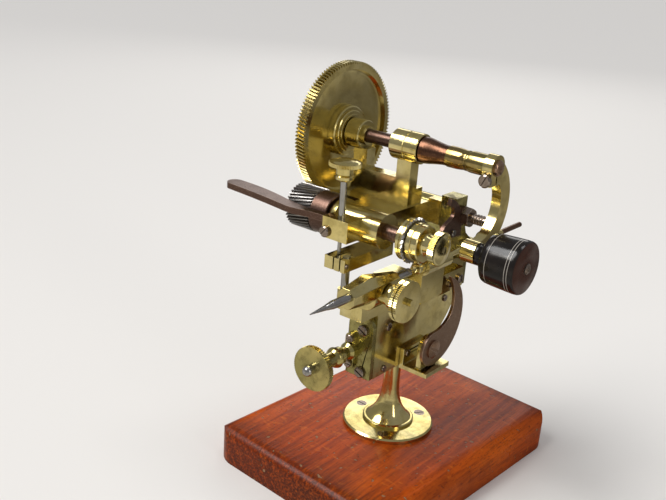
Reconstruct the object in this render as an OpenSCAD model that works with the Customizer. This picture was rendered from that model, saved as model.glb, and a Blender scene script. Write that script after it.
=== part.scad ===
// Rounding-up tool: a hand-cranked watchmaker's cutter for topping wheel teeth.
// X runs along the crank arbor towards the crank, +Y points away from the user along the
// runners, and +Z is up. The origin is the middle of the column on the base's underside.

/* [Wooden base] */
// Width of the base, along X
base_w = 120; // [100:1:130]
// Length of the base, along the grain
base_len = 156; // [140:1:170]
// Thickness of the base
base_t = 20; // [16:1:26]
// Plan radius of the base's corners
base_corner_r = 15; // [12:1:20]
// Radius of the rounded top edges along the sides
side_edge_r = 11; // [6:1:14]
// Radius of the rounded top edges across the ends
end_edge_r = 7; // [4:1:12]
// Turn of the tool's column in the base
base_turn = -3; // [-10:1:10]

/* [Column] */
// Diameter of the round foot plate
flange_d = 50; // [46:1:60]
// Thickness of the round foot plate
flange_t = 2.5; // [2:0.5:4]
// Diameter of the flared foot of the column
foot_d = 28; // [24:1:30]
// Diameter of the neck under the bed
neck_d = 9; // [8:0.5:12]
// Height from the foot plate to the bed
column_h = 39; // [34:1:60]
// Circle that the foot screws stand on
foot_pcd = 38; // [36:1:40]

/* [Bed] */
// Height of the bed's front plate
bed_h = 36; // [34:1:42]
// Thickness of the bed's front plate
plate_t = 4; // [3:0.5:5]
// Distance of the plate's right face from the column's axis
plate_x = 9.5; // [8:0.5:11]
// Distance from the column's axis to the bed's front end
bed_front = 32; // [30:1:40]
// Distance from the column's axis to the bed's back end
bed_back = 46; // [44:1:52]
// Radius of the round lower corner of the plate
plate_r = 50; // [46:1:54]
// Thickness of the end plates
end_t = 3; // [2.5:0.5:4]

/* [Heights] */
// Lead screw above the bed's underside
lead_h = 13.5; // [12:0.5:15]
// Runners above the bed's top
runner_h = 27.5; // [26:0.5:32]
// Cutter spindle above the runners
spindle_h = 15.5; // [15:0.5:18]
// Hinge of the head above the spindle
hinge_h = 1; // [0:0.5:2]

/* [Places along X and Y] */
// Runners and cutter, from the column's axis
runner_x = 24; // [23:0.5:26]
// Spindle in front of the arbor
spindle_y = 29; // [27:0.5:31]
// Hinge of the head behind the arbor
hinge_y = 20.5; // [19:0.5:23]

/* [Gears] */
// Teeth of the drive gear
gear_teeth = 118; // [116:1:122]
// Teeth of the spindle's pinion
pinion_teeth = 36; // [34:1:38]
// Module across the face
gear_module = 0.6; // [0.59:0.005:0.62]
// Helix angle of the teeth
helix = 12; // [0:1:18]
// Width of the drive gear
gear_w = 5.5; // [4.5:0.5:6.5]
// Length of the pinion
pinion_w = 15; // [12:0.5:15.5]
// Play between the teeth, along the pitch circle
backlash = 0.12; // [0.08:0.01:0.2]

/* [Arbor] */
// Diameter of the crank arbor
arbor_d = 7; // [6:0.5:8]
// Diameter of the arbor's bearings
eye_d = 15.4; // [14:0.2:17]
// Throw of the crank
crank_throw = 41; // [39:0.5:44]
// Bulge of the bowed crank arm
crank_bulge = 17; // [12:1:18]
// Width of the crank arm
crank_w = 8.5; // [7:0.5:10]
// Thickness of the crank arm
crank_t = 5; // [4:0.5:6]
// Angle of the hanging crank from straight down
crank_angle = 17; // [0:1:25]

/* [Handle] */
// Diameter of the handle at its outer end
handle_d = 26; // [22:1:28]
// Length of the handle's grip
handle_len = 19; // [16:1:24]

/* [Spindle] */
// Diameter of the cutter spindle
spindle_d = 8; // [7:0.5:9]
// Diameter of the journal inside the sleeve
journal_d = 12; // [11:0.5:13]
// Outer diameter of the sleeve
sleeve_d = 17.6; // [16.5:0.1:18.4]
// Diameter of the cutter
cutter_d = 22.5; // [20:0.5:24]
// Thickness of the cutter
cutter_t = 1; // [0.6:0.1:1.4]
// Gullets of the cutter
cutter_teeth = 30; // [20:1:40]

/* [Runners] */
// Diameter of the front runner
runner_d = 4; // [3.5:0.1:4.5]
// Diameter of the back runner's rod
back_rod_d = 3; // [2.5:0.1:3.5]
// Diameter of the back runner's sleeve
back_sleeve_d = 5.6; // [5:0.1:6]
// Gap between the runners at rest
runner_gap = 3; // [2.5:0.5:5]
// Size of the poppet bar over its flats
poppet_flats = 14; // [12:0.5:15]

/* [Knobs] */
// Diameter of the lead screw's knob
lead_knob_d = 23; // [20:1:26]
// Diameter of the thumb screw's disc
thumb_d = 20.5; // [18:0.5:22]
// Diameter of the depth stop's knob
stop_knob_d = 16; // [14:0.5:18]
// Diameter of the spindle's end knob
end_knob_d = 16.4; // [14:0.2:17]
// Knurls around each knob
knurls = 60; // [40:2:80]
// Depth of the knurls
knurl_depth = 0.35; // [0.2:0.05:0.5]

/* [Clearances] */
// Radial running clearance of shafts and slides
fit = 0.05; // [0.03:0.01:0.1]
// Radial clearance of screws through plates
loose = 0.2; // [0.1:0.05:0.4]
// Gap between parts that turn beside each other
side_gap = 0.3; // [0.2:0.05:0.5]

/* [Hidden] */
$fn = 64;
eps = 0.01;

// heights above the table
deck_z = base_t + flange_t;
bed_z = deck_z + column_h;
guide_z = bed_z + bed_h;
lead_z = bed_z + lead_h;
runner_z = guide_z + runner_h;
spindle_z = runner_z + spindle_h;
hinge_z = spindle_z + hinge_h;

// gear geometry
pressure_angle = 20;
gear_r = gear_teeth * gear_module / 2;
pinion_r = pinion_teeth * gear_module / 2;
centre_distance = gear_r + pinion_r;
arbor_z = spindle_z + sqrt(pow(centre_distance, 2) - pow(spindle_y, 2));
addendum = gear_module;
dedendum = 1.3 * gear_module;
mesh_angle = atan2(-spindle_y, arbor_z - spindle_z);

// places along X, from the gear towards the crank
gear_x = -48.3;
gear_front_x = gear_x + gear_w;
rear_eye_x = gear_front_x + 3.1;
rear_eye_w = 9.1;
rear_nose_w = 2.2;
front_eye_x = -11.2;
front_eye_w = 16.5;
barrel_x = front_eye_x + front_eye_w + side_gap;
barrel_w = 15;
collar_x = barrel_x + barrel_w;
collar_w = 21.8;
crank_x = collar_x + collar_w;
crank_face_x = crank_x + crank_t;
pinion_x = gear_x - 0.2;
drum_x = pinion_x + pinion_w + 0.2;
drum_w = 10.3;
housing_x = drum_x + drum_w + side_gap;
housing_boss_w = 4.7;
block_x = housing_x + housing_boss_w;
block_w = 15.5;
sleeve_end_x = 8;
cutter_back_w = 4;
cutter_x = runner_x - cutter_t / 2;
nut_x = cutter_x + cutter_t;
nut_w = 7.5;
end_knob_x = nut_x + nut_w + 4.6;
end_knob_w = 3.2;

// the head block and the bearing frame
head_x0 = -36;
head_x1 = 2.3;
head_top_z = spindle_z + 5.6;
head_bottom_z = spindle_z - 6;
head_front_y = -24;
head_back_y = 12;
frame_t = 7;
post_w = 8.6;
frame_web_h = 13.9;
rear_post_x = rear_eye_x + 4.4;
front_post_x = -7.6;
hinge_bar_d = 13;
wing_front_y = -12;
rib_t = 5.5;
rib_h = 8.4;
hinge_bar_x0 = -18;
hinge_bar_x1 = 10;
pivot_d = 5;
pivot_pin_d = 3;
pivot_reach = 4;
nut_t = 4;
nut_across = 10.4;

// the clamp block with the depth stop
block_front_y = -47;
block_bottom_z = spindle_z - 5.3;
block_top_z = spindle_z + 5.4;
stop_x = -10.4;
stop_y = -42;
stop_d = 3.5;
stop_gap = 0.25;
stop_len = 44.75;
boss_r = 10;
lever_y = -45;
lever_z = spindle_z + 3.9;
lever_t = 3.2;
lever_bend_x = -41;
lever_tip_x = -88.5;
lever_tip_r = 4.5;
tang_len = 5;
tang_d = 2.4;
stop_bar_top_z = spindle_z - 13.5;
stop_bar_t = 6.5;
stop_bar_x0 = -14.5;
stop_bar_x1 = -1.9;
stop_bar_front_y = -47.8;
stop_bar_back_y = -8;
pin_x = -4.9;
pin_y = -42.6;
pin_d = 4;

// the carriage and the poppets
carriage_z0 = guide_z + fit;
carriage_h = 13;
carriage_top_z = carriage_z0 + carriage_h;
carriage_front_y = -46;
carriage_back_y = 2;
carriage_x0 = -4;
leg_front_y = -15;
leg_back_y = 3;
leg_x0 = -8;
rail_t = 4;
rail_z = bed_z + 23.5;
rail_h = 6;
lead_x = -3;
lead_d = 5;
poppet_front_y = -77;
poppet_nose_len = 13;
poppet_back_y = -42;
thumb_y = -50.5;
thumb_drop = 5.2;
front_tip_y = -103;
front_inner_y = -28;
back_inner_y = front_inner_y + runner_gap;
back_sleeve_len = 26;
back_end_y = 79;
back_poppet_x0 = 17;
back_poppet_x1 = 25;
back_poppet_front_y = -20;
back_poppet_back_y = 0;
back_poppet_z0 = guide_z + 8;
finger_t = 2.2;
finger_tip = [hinge_y - 11, hinge_z - 6.5];
thumb_seat_x = runner_x + 5;
thumb_cone_d = 11.6;
thumb_shank_d = 3;
thumb_tip_x = 11;
poppet_foot_x0 = 4;
poppet_foot_x1 = 20;
poppet_foot_y = -53;
poppet_heel_y = -38;
poppet_nose_flats = 9.5;

// hubs, pins and eyes of the turning parts
hub_d = 16;
hub_bore_d = 12;
hub_flange_d = 27;
cap_shank_d = 4;
crank_boss_d = 12.4;
crank_eye_d = 11.2;
eye_len = 7.4;
handle_pin_d = 4;
grip_neck = 6;
nose_d = 5;

brass = [0.80, 0.62, 0.25];
dark_brass = [0.62, 0.47, 0.20];
steel = [0.62, 0.62, 0.64];
brown_steel = [0.36, 0.24, 0.18];
varnish = [0.42, 0.14, 0.07];
ebony = [0.05, 0.045, 0.045];

// Helpers that lay round work along X or Y
module bar_x(x0, x1, d) {
    translate([x0, 0, 0]) rotate([0, 90, 0]) cylinder(h = x1 - x0, d = d);
}

module bar_y(y0, y1, d) {
    translate([0, y0, 0]) rotate([-90, 0, 0]) cylinder(h = y1 - y0, d = d);
}

module turned_x(x0, outline) {
    translate([x0, 0, 0]) rotate([0, 90, 0]) rotate_extrude() polygon(outline);
}

module turned_y(y0, outline) {
    translate([0, y0, 0]) rotate([90, 0, 0]) rotate_extrude() polygon(outline);
}

// A solid that is extruded along X from an outline given as [y, z]
module slab_x(x0, t) {
    translate([x0, 0, 0]) rotate([90, 0, 90]) linear_extrude(height = t) children();
}

// A solid that is extruded along Y from an outline given as [x, z]
module slab_y(y0, t) {
    translate([0, y0 + t, 0]) rotate([90, 0, 0]) linear_extrude(height = t) children();
}

module block(x0, x1, y0, y1, z0, z1) {
    translate([x0, y0, z0]) cube([x1 - x0, y1 - y0, z1 - z0]);
}

// Points of a cubic curve through p[0] and p[3]
function bezier(p, t) = pow(1 - t, 3) * p[0] + 3 * t * pow(1 - t, 2) * p[1]
    + 3 * t * t * (1 - t) * p[2] + pow(t, 3) * p[3];

function curve(p, n) = [for (i = [0 : n]) bezier(p, i / n)];

module on_arbor() {
    translate([0, 0, arbor_z]) children();
}

module on_spindle() {
    translate([0, -spindle_y, spindle_z]) children();
}

module on_runner() {
    translate([runner_x, 0, runner_z]) children();
}

// Knurled disc along +Z
module knurled(d, h) {
    outline = [for (i = [0 : 2 * knurls - 1])
        let (r = d / 2 - (i % 2) * knurl_depth, a = 180 * i / knurls)
        [r * cos(a), r * sin(a)]];
    linear_extrude(height = h) polygon(outline);
}

// A cheese head screw along +Z, with the head's underside at z = 0
module slotted_screw(head_d, head_h, shank_d, shank_len) {
    slot_w = head_d * 0.16;
    difference() {
        union() {
            cylinder(h = head_h * 0.75, d = head_d);
            translate([0, 0, head_h * 0.75 - eps])
                cylinder(h = head_h * 0.25, d1 = head_d, d2 = head_d * 0.8);
        }
        translate([-head_d, -slot_w / 2, head_h * 0.6]) cube([2 * head_d, slot_w, head_h]);
    }
    translate([0, 0, -shank_len]) cylinder(h = shank_len + eps, d = shank_d);
}

// Involute tooth outline
function involute(r, base_r) = let (a = acos(min(1, base_r / r))) tan(a) * 180 / PI - a;

function half_tooth(r, pitch_r, teeth) =
    let (base_r = pitch_r * cos(pressure_angle))
    90 / teeth - backlash / (4 * pitch_r) * 180 / PI
        + involute(pitch_r, base_r) - involute(r, base_r);

function tooth_radii(pitch_r) = [pitch_r - dedendum, pitch_r, pitch_r + addendum];

function gear_outline(pitch_r, teeth) = [
    for (i = [0 : teeth - 1])
        for (side = [-1, 1])
            for (j = [0 : 2])
                let (k = side < 0 ? j : 2 - j,
                    r = tooth_radii(pitch_r)[k],
                    a = 360 * i / teeth + side * half_tooth(r, pitch_r, teeth))
                [r * cos(a), r * sin(a)]];

// Teeth along +Z; hand is +1 or -1, and phase turns the section at the height mid
module helical_teeth(pitch_r, teeth, w, hand, phase, mid, slices) {
    rate = hand * tan(helix) / pitch_r * 180 / PI;
    rotate([0, 0, phase - rate * mid])
        linear_extrude(height = w, twist = -rate * w, slices = slices)
            polygon(gear_outline(pitch_r, teeth));
}

// The wooden base

module rounded_plan() {
    inner_w = base_w - 2 * base_corner_r;
    inner_len = base_len - 2 * base_corner_r;
    square([inner_w, base_len], center = true);
    square([base_w, inner_len], center = true);
    for (sx = [-1, 1]) for (sy = [-1, 1])
        translate([sx * inner_w / 2, sy * inner_len / 2]) circle(base_corner_r);
}

// Upright section of the base with its two top edges rounded
module rounded_top(w, r) {
    translate([-w / 2, 0]) square([w, base_t - r]);
    translate([-w / 2 + r, 0]) square([w - 2 * r, base_t]);
    for (s = [-1, 1]) translate([s * (w / 2 - r), base_t - r]) circle(r);
}

module in_base() {
    rotate([0, 0, base_turn]) translate([base_dx, base_dy, 0]) children();
}

tenon_d = 10;
tenon_len = 12;
base_dx = -2;
base_dy = 4;

module wood_base() {
    color(varnish) difference() {
        in_base() intersection() {
            linear_extrude(height = base_t) rounded_plan();
            translate([0, base_len / 2, 0]) rotate([90, 0, 0])
                linear_extrude(height = base_len) rounded_top(base_w, side_edge_r);
            translate([-base_w / 2, 0, 0]) rotate([90, 0, 90])
                linear_extrude(height = base_w) rounded_top(base_len, end_edge_r);
        }
        translate([0, 0, base_t - tenon_len]) cylinder(h = tenon_len + 1, d = tenon_d);
        foot_screw_places() translate([0, 0, -foot_screw_len]) cylinder(h = 20, d = foot_screw_d);
    }
}

// The foot plate and the column

foot_screw_d = 3;
foot_screw_len = 12;

module foot_screw_places() {
    for (a = [-62, 58, 178]) rotate([0, 0, a]) translate([foot_pcd / 2, 0, deck_z]) children();
}

module countersunk_screw(head_d, shank_d, shank_len) {
    head_h = (head_d - shank_d) / 2;
    difference() {
        translate([0, 0, -head_h]) cylinder(h = head_h, d1 = shank_d, d2 = head_d);
        translate([-head_d, -0.4, -0.7]) cube([2 * head_d, 0.8, 1]);
    }
    translate([0, 0, -shank_len]) cylinder(h = shank_len - head_h + eps, d = shank_d);
}

module base_flange() {
    r = flange_d / 2;
    color(brass) difference() {
        translate([0, 0, base_t]) rotate_extrude() polygon([[0, 0], [r, 0],
            [r, flange_t - 0.8], [r - 0.8, flange_t], [0, flange_t]]);
        translate([0, 0, base_t - 1]) cylinder(h = flange_t + 2, d = tenon_d);
        foot_screw_places() translate([0, 0, -5]) cylinder(h = 10, d = foot_screw_d);
        foot_screw_places() translate([0, 0, -1.5]) cylinder(h = 2, d1 = 3, d2 = 7);
    }
}

module flange_screws() {
    color(brown_steel) foot_screw_places() countersunk_screw(6, foot_screw_d, foot_screw_len);
}

// Radius of the flared column at the share t of its height
function column_r(t) = neck_d / 2 + (foot_d / 2 - 1.5 - neck_d / 2) * pow(1 - t, 5);

module column() {
    flare = [for (i = [0 : 12]) let (t = i / 12) [column_r(t), 1.6 + (column_h - 4.6) * t]];
    outline = concat([[0, 0], [foot_d / 2, 0], [foot_d / 2, 1.2], [foot_d / 2 - 0.6, 1.6]],
        flare, [[neck_d / 2 + 1.2, column_h - 2.2], [neck_d / 2 + 1.2, column_h],
        [0, column_h]]);
    color(brass) {
        translate([0, 0, deck_z]) rotate_extrude() polygon(outline);
        translate([0, 0, base_t - tenon_len]) cylinder(h = tenon_len + flange_t, d = tenon_d);
        translate([0, 0, bed_z - eps]) cylinder(h = floor_t + eps, d = stud_d);
    }
}

// The bed: a tall front plate, a floor over the column, and a guide rail behind the plate

floor_t = 5;
floor_x0 = -7;
stud_d = 6;
step_y = 12;
rise_h = 13;

// Outline of the front plate, as [y, z]
module plate_outline() {
    difference() {
        union() {
            translate([-bed_front, bed_z]) square([bed_front + bed_back, bed_h]);
            translate([step_y, bed_z]) square([bed_back - step_y, bed_h + rise_h]);
        }
        difference() {
            translate([-3, bed_z - 1]) square([bed_back + 10, plate_r - 1]);
            translate([bed_back - plate_r, bed_z + plate_r - 1.5]) circle(plate_r, $fn = 128);
        }
    }
}

module rail_screw_place() {
    translate([plate_x, -22, rail_z + rail_h / 2]) children();
}

module rail_screw() {
    color(brown_steel) rail_screw_place() rotate([0, 90, 0]) rotate([0, 0, 35])
        slotted_screw(4.4, 1, small_screw_d, plate_t + 2);
}

module rear_leadscrew_block() {
    block(leg_x0, plate_x - plate_t + eps, 27, 36, lead_z - 6, rail_z + rail_h);
}

module bed() {
    color(brass) difference() {
        union() {
            slab_x(plate_x - plate_t, plate_t) plate_outline();
            block(floor_x0, plate_x - eps, -bed_front, 14, bed_z, bed_z + floor_t);
            block(plate_x - plate_t - rail_t, plate_x - plate_t + eps, -bed_front, 36,
                rail_z, rail_z + rail_h);
            rear_leadscrew_block();
            block(floor_x0, plate_x - plate_t + eps, 36 - eps, bed_back, guide_z - 12,
                guide_z + rise_h);
        }
        translate([0, 0, bed_z - 1]) cylinder(h = floor_t + 2, d = stud_d);
        translate([lead_x, 0, lead_z]) bar_y(26, 40, lead_d + 2 * fit);
        rail_screw_place() bar_x(-plate_t - 2, 1, small_screw_d);
        end_screw_places() bar_y(-1, 8, end_screw_d);
        bracket_screw_places() bar_x(-8, 1, small_screw_d);
        poppet_screw_places() bar_x(-20, 1, poppet_screw_d);
        standard_screw_places() bar_y(-12, 1, small_screw_d);
    }
}

// The end plate, with a domed top, in front of the bed

end_screw_d = 2.6;
end_x0 = -6;
dome_r = (plate_x - end_x0) / 2;
dome_z = guide_z - side_gap - dome_r;

module end_screw_places() {
    for (z = [bed_z + floor_t / 2 + 0.5, rail_z + rail_h / 2])
        translate([plate_x - plate_t - rail_t / 2, -bed_front, z]) children();
}

module end_plate() {
    color(brass) difference() {
        slab_y(-bed_front - end_t, end_t) difference() {
            union() {
                translate([end_x0, bed_z]) square([plate_x - end_x0, dome_z - bed_z]);
                translate([plate_x - dome_r, dome_z]) circle(dome_r);
            }
            translate([lead_x, lead_z]) circle(d = lead_d + 2 * loose);
        }
        end_screw_places() bar_y(-end_t - 1, 1, end_screw_d + 2 * loose);
        lead_bearing_places() bar_y(-1, end_t + 1, small_screw_d);
    }
}

module end_plate_screws() {
    color(brown_steel) end_screw_places() translate([0, -end_t, 0])
        rotate([90, 25, 0]) slotted_screw(5.8, 1.6, end_screw_d, 8);
}

// The oval bearing of the lead screw

small_screw_d = 2;
oval_t = 2;
oval_reach = 7;
stem_d = 9.2;
stem_len = 10;

module lead_bearing_places() {
    for (s = [-1, 1]) translate([lead_x, -bed_front - end_t, lead_z + s * oval_reach]) children();
}

module lead_bearing() {
    color(brass) difference() {
        union() {
            slab_y(-bed_front - end_t - oval_t, oval_t) {
                translate([lead_x, lead_z]) circle(d = 9.6);
                for (s = [-1, 1]) translate([lead_x, lead_z + s * oval_reach]) circle(d = 6);
                translate([lead_x - 3, lead_z - oval_reach]) square([6, 2 * oval_reach]);
            }
            translate([lead_x, 0, lead_z]) turned_y(-bed_front - end_t - oval_t + eps,
                [[0, 0], [stem_d / 2, 0], [stem_d / 2, 1.5], [stem_d / 2 - 1.4, 3],
                [stem_d / 2 - 1.4, stem_len - 4], [stem_d / 2, stem_len - 2.5],
                [stem_d / 2, stem_len], [0, stem_len]]);
        }
        translate([lead_x, 0, lead_z]) bar_y(-80, 0, lead_d + 2 * fit);
        lead_bearing_places() bar_y(-oval_t - 1, 1, small_screw_d + 2 * loose);
    }
}

module lead_bearing_screws() {
    color(brown_steel) lead_bearing_places() translate([0, -oval_t, 0])
        rotate([90, 0, 0]) slotted_screw(4.4, 1.4, small_screw_d, 4.5);
}

// The back poppet stands in front of the plate, on an arm that is screwed to the plate's rise

arm_x0 = 10;
arm_x1 = 19;
arm_back_y = 30;
poppet_screw_d = 2.6;

module poppet_screw_places() {
    for (y = [17.5, 26.5]) translate([arm_x1, y, guide_z + 7]) children();
}

module back_poppet() {
    color(brass) difference() {
        union() {
            slab_x(back_poppet_x0, back_poppet_x1 - back_poppet_x0) polygon([
                [back_poppet_front_y, back_poppet_z0], [back_poppet_back_y, back_poppet_z0],
                [back_poppet_back_y, runner_z - 2], [back_poppet_back_y - 3, runner_z],
                [back_poppet_front_y + 3, runner_z], [back_poppet_front_y, runner_z - 4]]);
            on_runner() bar_y(back_poppet_front_y, back_poppet_back_y + 1, back_sleeve_d + 4);
            block(arm_x0, arm_x1, back_poppet_back_y - 9, arm_back_y, guide_z + 2, guide_z + rise_h);
            block(plate_x, arm_x1, step_y + 2, arm_back_y, guide_z + 2, guide_z + rise_h);
        }
        on_runner() bar_y(-60, 60, back_sleeve_d + 2 * fit);
        poppet_screw_places() bar_x(-20, 1, poppet_screw_d + 2 * loose);
    }
}

module back_poppet_screws() {
    color(brown_steel) poppet_screw_places() rotate([0, 90, 0]) rotate([0, 0, 20])
        slotted_screw(5, 1.5, poppet_screw_d, arm_x1 - plate_x + plate_t);
}

// The bracket under the bed and the half-moon spring on it

bracket_x1 = 27;
bracket_t = 2.5;
tab_x0 = 18.6;
tab_t = 3.2;
spring_t = 2;
spring_x = tab_x0 + tab_t;
spring_r = 25;
spring_hollow_r = 19.8;
spring_foot_r = 9.5;
spring_foot_z = bed_z + 11.5;
spring_screw_d = 4;

module spring_bracket() {
    color(brass) difference() {
        union() {
            block(plate_x, bracket_x1, -9, 13, bed_z - 1.5, bed_z - 1.5 + bracket_t);
            block(plate_x, plate_x + 2.5, -9, 13, bed_z - 1.5, bed_z + 10);
            slab_x(tab_x0, tab_t) {
                translate([-7, bed_z]) square([14, spring_foot_z - bed_z]);
                translate([0, spring_foot_z]) circle(r = 7);
            }
        }
        translate([0, 0, spring_foot_z]) bar_x(tab_x0 - 1, spring_x + 1, spring_screw_d);
        bracket_screw_places() bar_x(-6, 1, small_screw_d + 2 * loose);
    }
}

module bracket_screw_places() {
    for (y = [-6, 10]) translate([plate_x + 2.5, y, bed_z + 7]) children();
}

module bracket_screws() {
    color(brown_steel) bracket_screw_places() rotate([0, 90, 0])
        slotted_screw(4, 1.2, small_screw_d, 6);
}

module half_moon_spring() {
    color(brown_steel) difference() {
        slab_x(spring_x, spring_t) {
            translate([0, spring_foot_z]) circle(r = spring_foot_r);
            intersection() {
                difference() {
                    translate([1, spring_foot_z + 15]) circle(spring_r, $fn = 128);
                    translate([-5.5, spring_foot_z + 24]) circle(spring_hollow_r, $fn = 128);
                }
                translate([0, spring_foot_z - 11]) square([40, 60]);
            }
        }
        translate([0, 0, spring_foot_z]) bar_x(spring_x - 1, spring_x + 4, spring_screw_d);
    }
}

module spring_screw() {
    color(brown_steel) translate([spring_x + spring_t, 0, spring_foot_z])
        rotate([0, 90, 0]) rotate([0, 0, 60])
        slotted_screw(10, 1.2, spring_screw_d, spring_t + tab_t + 1.5);
}

// The standard carries the head's two pivot screws

arm_t = 5;
right_arm_t = 9;
standard_x0 = hinge_bar_x0 - side_gap - arm_t;
right_x = hinge_bar_x1 + side_gap + right_arm_t;
finger_x = right_x;
standard_y = 38;
standard_t = 8;
tongue_t = 3;
tongue_h = 18;
ear_r = 5;

module left_arm() {
    slab_x(standard_x0, arm_t) {
        translate([hinge_y, hinge_z]) circle(d = hinge_bar_d);
        polygon([[hinge_y - 5, hinge_z - 4], [hinge_y + 3, hinge_z + 5.7],
            [standard_y + standard_t, hinge_z - 4], [standard_y + standard_t, guide_z + 16],
            [standard_y, guide_z + 16], [standard_y - 3, hinge_z - 20]]);
    }
}

// The right arm ends in a square block over the hinge
block_y0 = hinge_y - 6.7;
block_y1 = hinge_y + 4;
block_top = hinge_z + 9.9;
shelf_z = runner_z - 3.5;

module right_arm() {
    slab_x(right_x - right_arm_t, right_arm_t) polygon([
        [block_y0, block_top], [block_y0, hinge_z - 6.5], [standard_y - 9, runner_z - 8],
        [standard_y, guide_z + 16], [standard_y + standard_t, guide_z + 16],
        [standard_y + standard_t, shelf_z - 3], [standard_y, shelf_z], [block_y1, hinge_z - 9],
        [block_y1, block_top]]);
}

module lock_screw_place() {
    translate([right_x - right_arm_t + 3.4, block_y0, hinge_z + 6]) children();
}

module standard() {
    color(brass) difference() {
        union() {
            left_arm();
            right_arm();
            slab_y(standard_y, standard_t) polygon([[standard_x0, guide_z + rise_h],
                [runner_x + 2, guide_z + rise_h], [runner_x + 2, shelf_z], [9, shelf_z],
                [5, hinge_z - 6], [standard_x0, hinge_z - 6]]);
            on_runner() bar_y(standard_y, standard_y + standard_t, 2 * ear_r);
            block(floor_x0, plate_x, bed_back, bed_back + tongue_t,
                guide_z + rise_h - tongue_h, guide_z + rise_h + 6);
            block(floor_x0, plate_x, bed_back - 1, bed_back + 1, guide_z + rise_h,
                guide_z + rise_h + 6);
        }
        on_runner() bar_y(0, 80, back_rod_d + 2 * fit);
        standard_screw_places() bar_y(-6, 6, small_screw_d + 2 * loose);
        slab_y(standard_y - 1, standard_t + 2)
            translate([(standard_x0 + 5) / 2, hinge_z - 8]) circle(d = 16);
        translate([0, hinge_y, hinge_z]) bar_x(standard_x0 - 1, right_x + 1, pivot_d);
        lock_screw_place() {
            bar_y(-1, 5, lock_screw_d);
            turned_y(1.2, [[0, 0], [lock_screw_d / 2 + 0.2, 0], [lock_screw_d / 2 + 1.4, 1.3], [0, 1.3]]);
        }
    }
}

module standard_screw_places() {
    for (x = [floor_x0 + 3.5, plate_x - 6]) for (s = [0, 1])
        translate([x, bed_back + tongue_t, guide_z + rise_h - 5 - 8 * s]) children();
}

module standard_screws() {
    color(brown_steel) standard_screw_places() rotate([-90, 0, 0])
        slotted_screw(4.2, 1.4, small_screw_d, tongue_t + 4);
}

// The grub screw that locks the right pivot screw
lock_screw_d = 3.6;

module lock_screw() {
    color(brown_steel) lock_screw_place() difference() {
        bar_y(1.6, 5, lock_screw_d);
        block(-lock_screw_d, lock_screw_d, 1, 2.4, -0.35, 0.35);
    }
}

module pivot_screws() {
    color(brown_steel) translate([0, hinge_y, hinge_z]) {
        bar_x(hinge_bar_x1 - pivot_reach, hinge_bar_x1 + side_gap + eps, pivot_pin_d);
        difference() {
            bar_x(hinge_bar_x1 + side_gap, right_x + 15, pivot_d);
            block(right_x + 13, right_x + 16, -4, 4, -0.5, 0.5);
        }
        bar_x(hinge_bar_x0 - side_gap - eps, hinge_bar_x0 + pivot_reach, pivot_pin_d);
        difference() {
            bar_x(standard_x0 - 6, hinge_bar_x0 - side_gap, pivot_d);
            block(standard_x0 - 7, standard_x0 - 4.8, -4, 4, -0.5, 0.5);
        }
    }
}

module pivot_nut(x0) {
    translate([x0, hinge_y, hinge_z]) rotate([0, 90, 0]) difference() {
        intersection() {
            cylinder(h = nut_t, d = nut_across, $fn = 6);
            cylinder(h = nut_t, d1 = nut_across + 3, d2 = nut_across - 1);
        }
        translate([0, 0, -1]) cylinder(h = nut_t + 2, d = pivot_d);
    }
}

module pivot_nuts() {
    color(brown_steel) {
        pivot_nut(finger_x + finger_t);
        translate([standard_x0, 0, 0]) mirror([1, 0, 0]) pivot_nut(0);
    }
}

// The hooked steel finger that is clamped on the right pivot screw

// Edges of the finger as [y, z] from the hinge: the outer one falls in one bow, and the inner
// one is an S that turns back towards the user
finger_outer = [[-15, 12.1], [-6.5, 10], [-1.5, 1.5], [-2.5, -10]];
finger_waist = [-13.2, 0.9];
finger_inner_low = [[-22.2, -8.6], [-21.3, -2.5], [-18, -0.9], finger_waist];
finger_inner_top = [finger_waist, [-8.6, 2.7], [-11, 8], [-16, 8.6]];

module guide_finger() {
    color(brown_steel) difference() {
        slab_x(finger_x, finger_t) translate([hinge_y, hinge_z]) {
            circle(r = 5);
            polygon(concat(curve(finger_outer, 10), curve(finger_inner_low, 8),
                curve(finger_inner_top, 8)));
        }
        translate([0, hinge_y, hinge_z]) bar_x(finger_x - 1, finger_x + 5, pivot_d);
        translate([0, finger_tip[0], finger_tip[1]]) bar_x(finger_x - 1, finger_x + 5, 2);
    }
}

module finger_screw() {
    color(steel) translate([finger_x + finger_t, finger_tip[0], finger_tip[1]])
        rotate([0, 90, 0]) slotted_screw(3.6, 1.4, 2, finger_t);
}

// The carriage: a saddle on the plate's top, with a leg that holds the lead screw's nut
module carriage() {
    leg_x1 = plate_x - plate_t - fit;
    color(brass) difference() {
        union() {
            block(carriage_x0, plate_x, carriage_front_y, carriage_back_y,
                carriage_z0, carriage_top_z);
            block(leg_x0, leg_x1, leg_front_y, leg_back_y, lead_z - 6, carriage_top_z);
            translate([pin_x, pin_y, carriage_z0 + 3]) cylinder(h = carriage_h - 3, r = 3.4);
            block(pin_x, carriage_x0 + eps, pin_y - 3.4, pin_y + 3.4,
                carriage_z0 + 3, carriage_top_z);
        }
        block(leg_x1 - rail_t - fit, leg_x1 + 1, leg_front_y - 1, leg_back_y + 1,
            rail_z - fit, rail_z + rail_h + fit);
        translate([lead_x, 0, lead_z]) bar_y(leg_front_y - 1, leg_back_y + 1, lead_d + 2 * fit);
        translate([pin_x, pin_y, carriage_top_z - 9]) cylinder(h = 10, d = pin_d);
    }
}

// The front poppet: a split eight-sided bar on a foot, tapered to its nose
module octagon_y(y, flats, h) {
    translate([0, y, 0]) rotate([-90, 0, 0]) rotate([0, 0, 22.5])
        cylinder(h = h, d = flats / cos(22.5), $fn = 8);
}

module on_thumb() {
    translate([0, thumb_y, runner_z - thumb_drop]) children();
}

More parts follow.
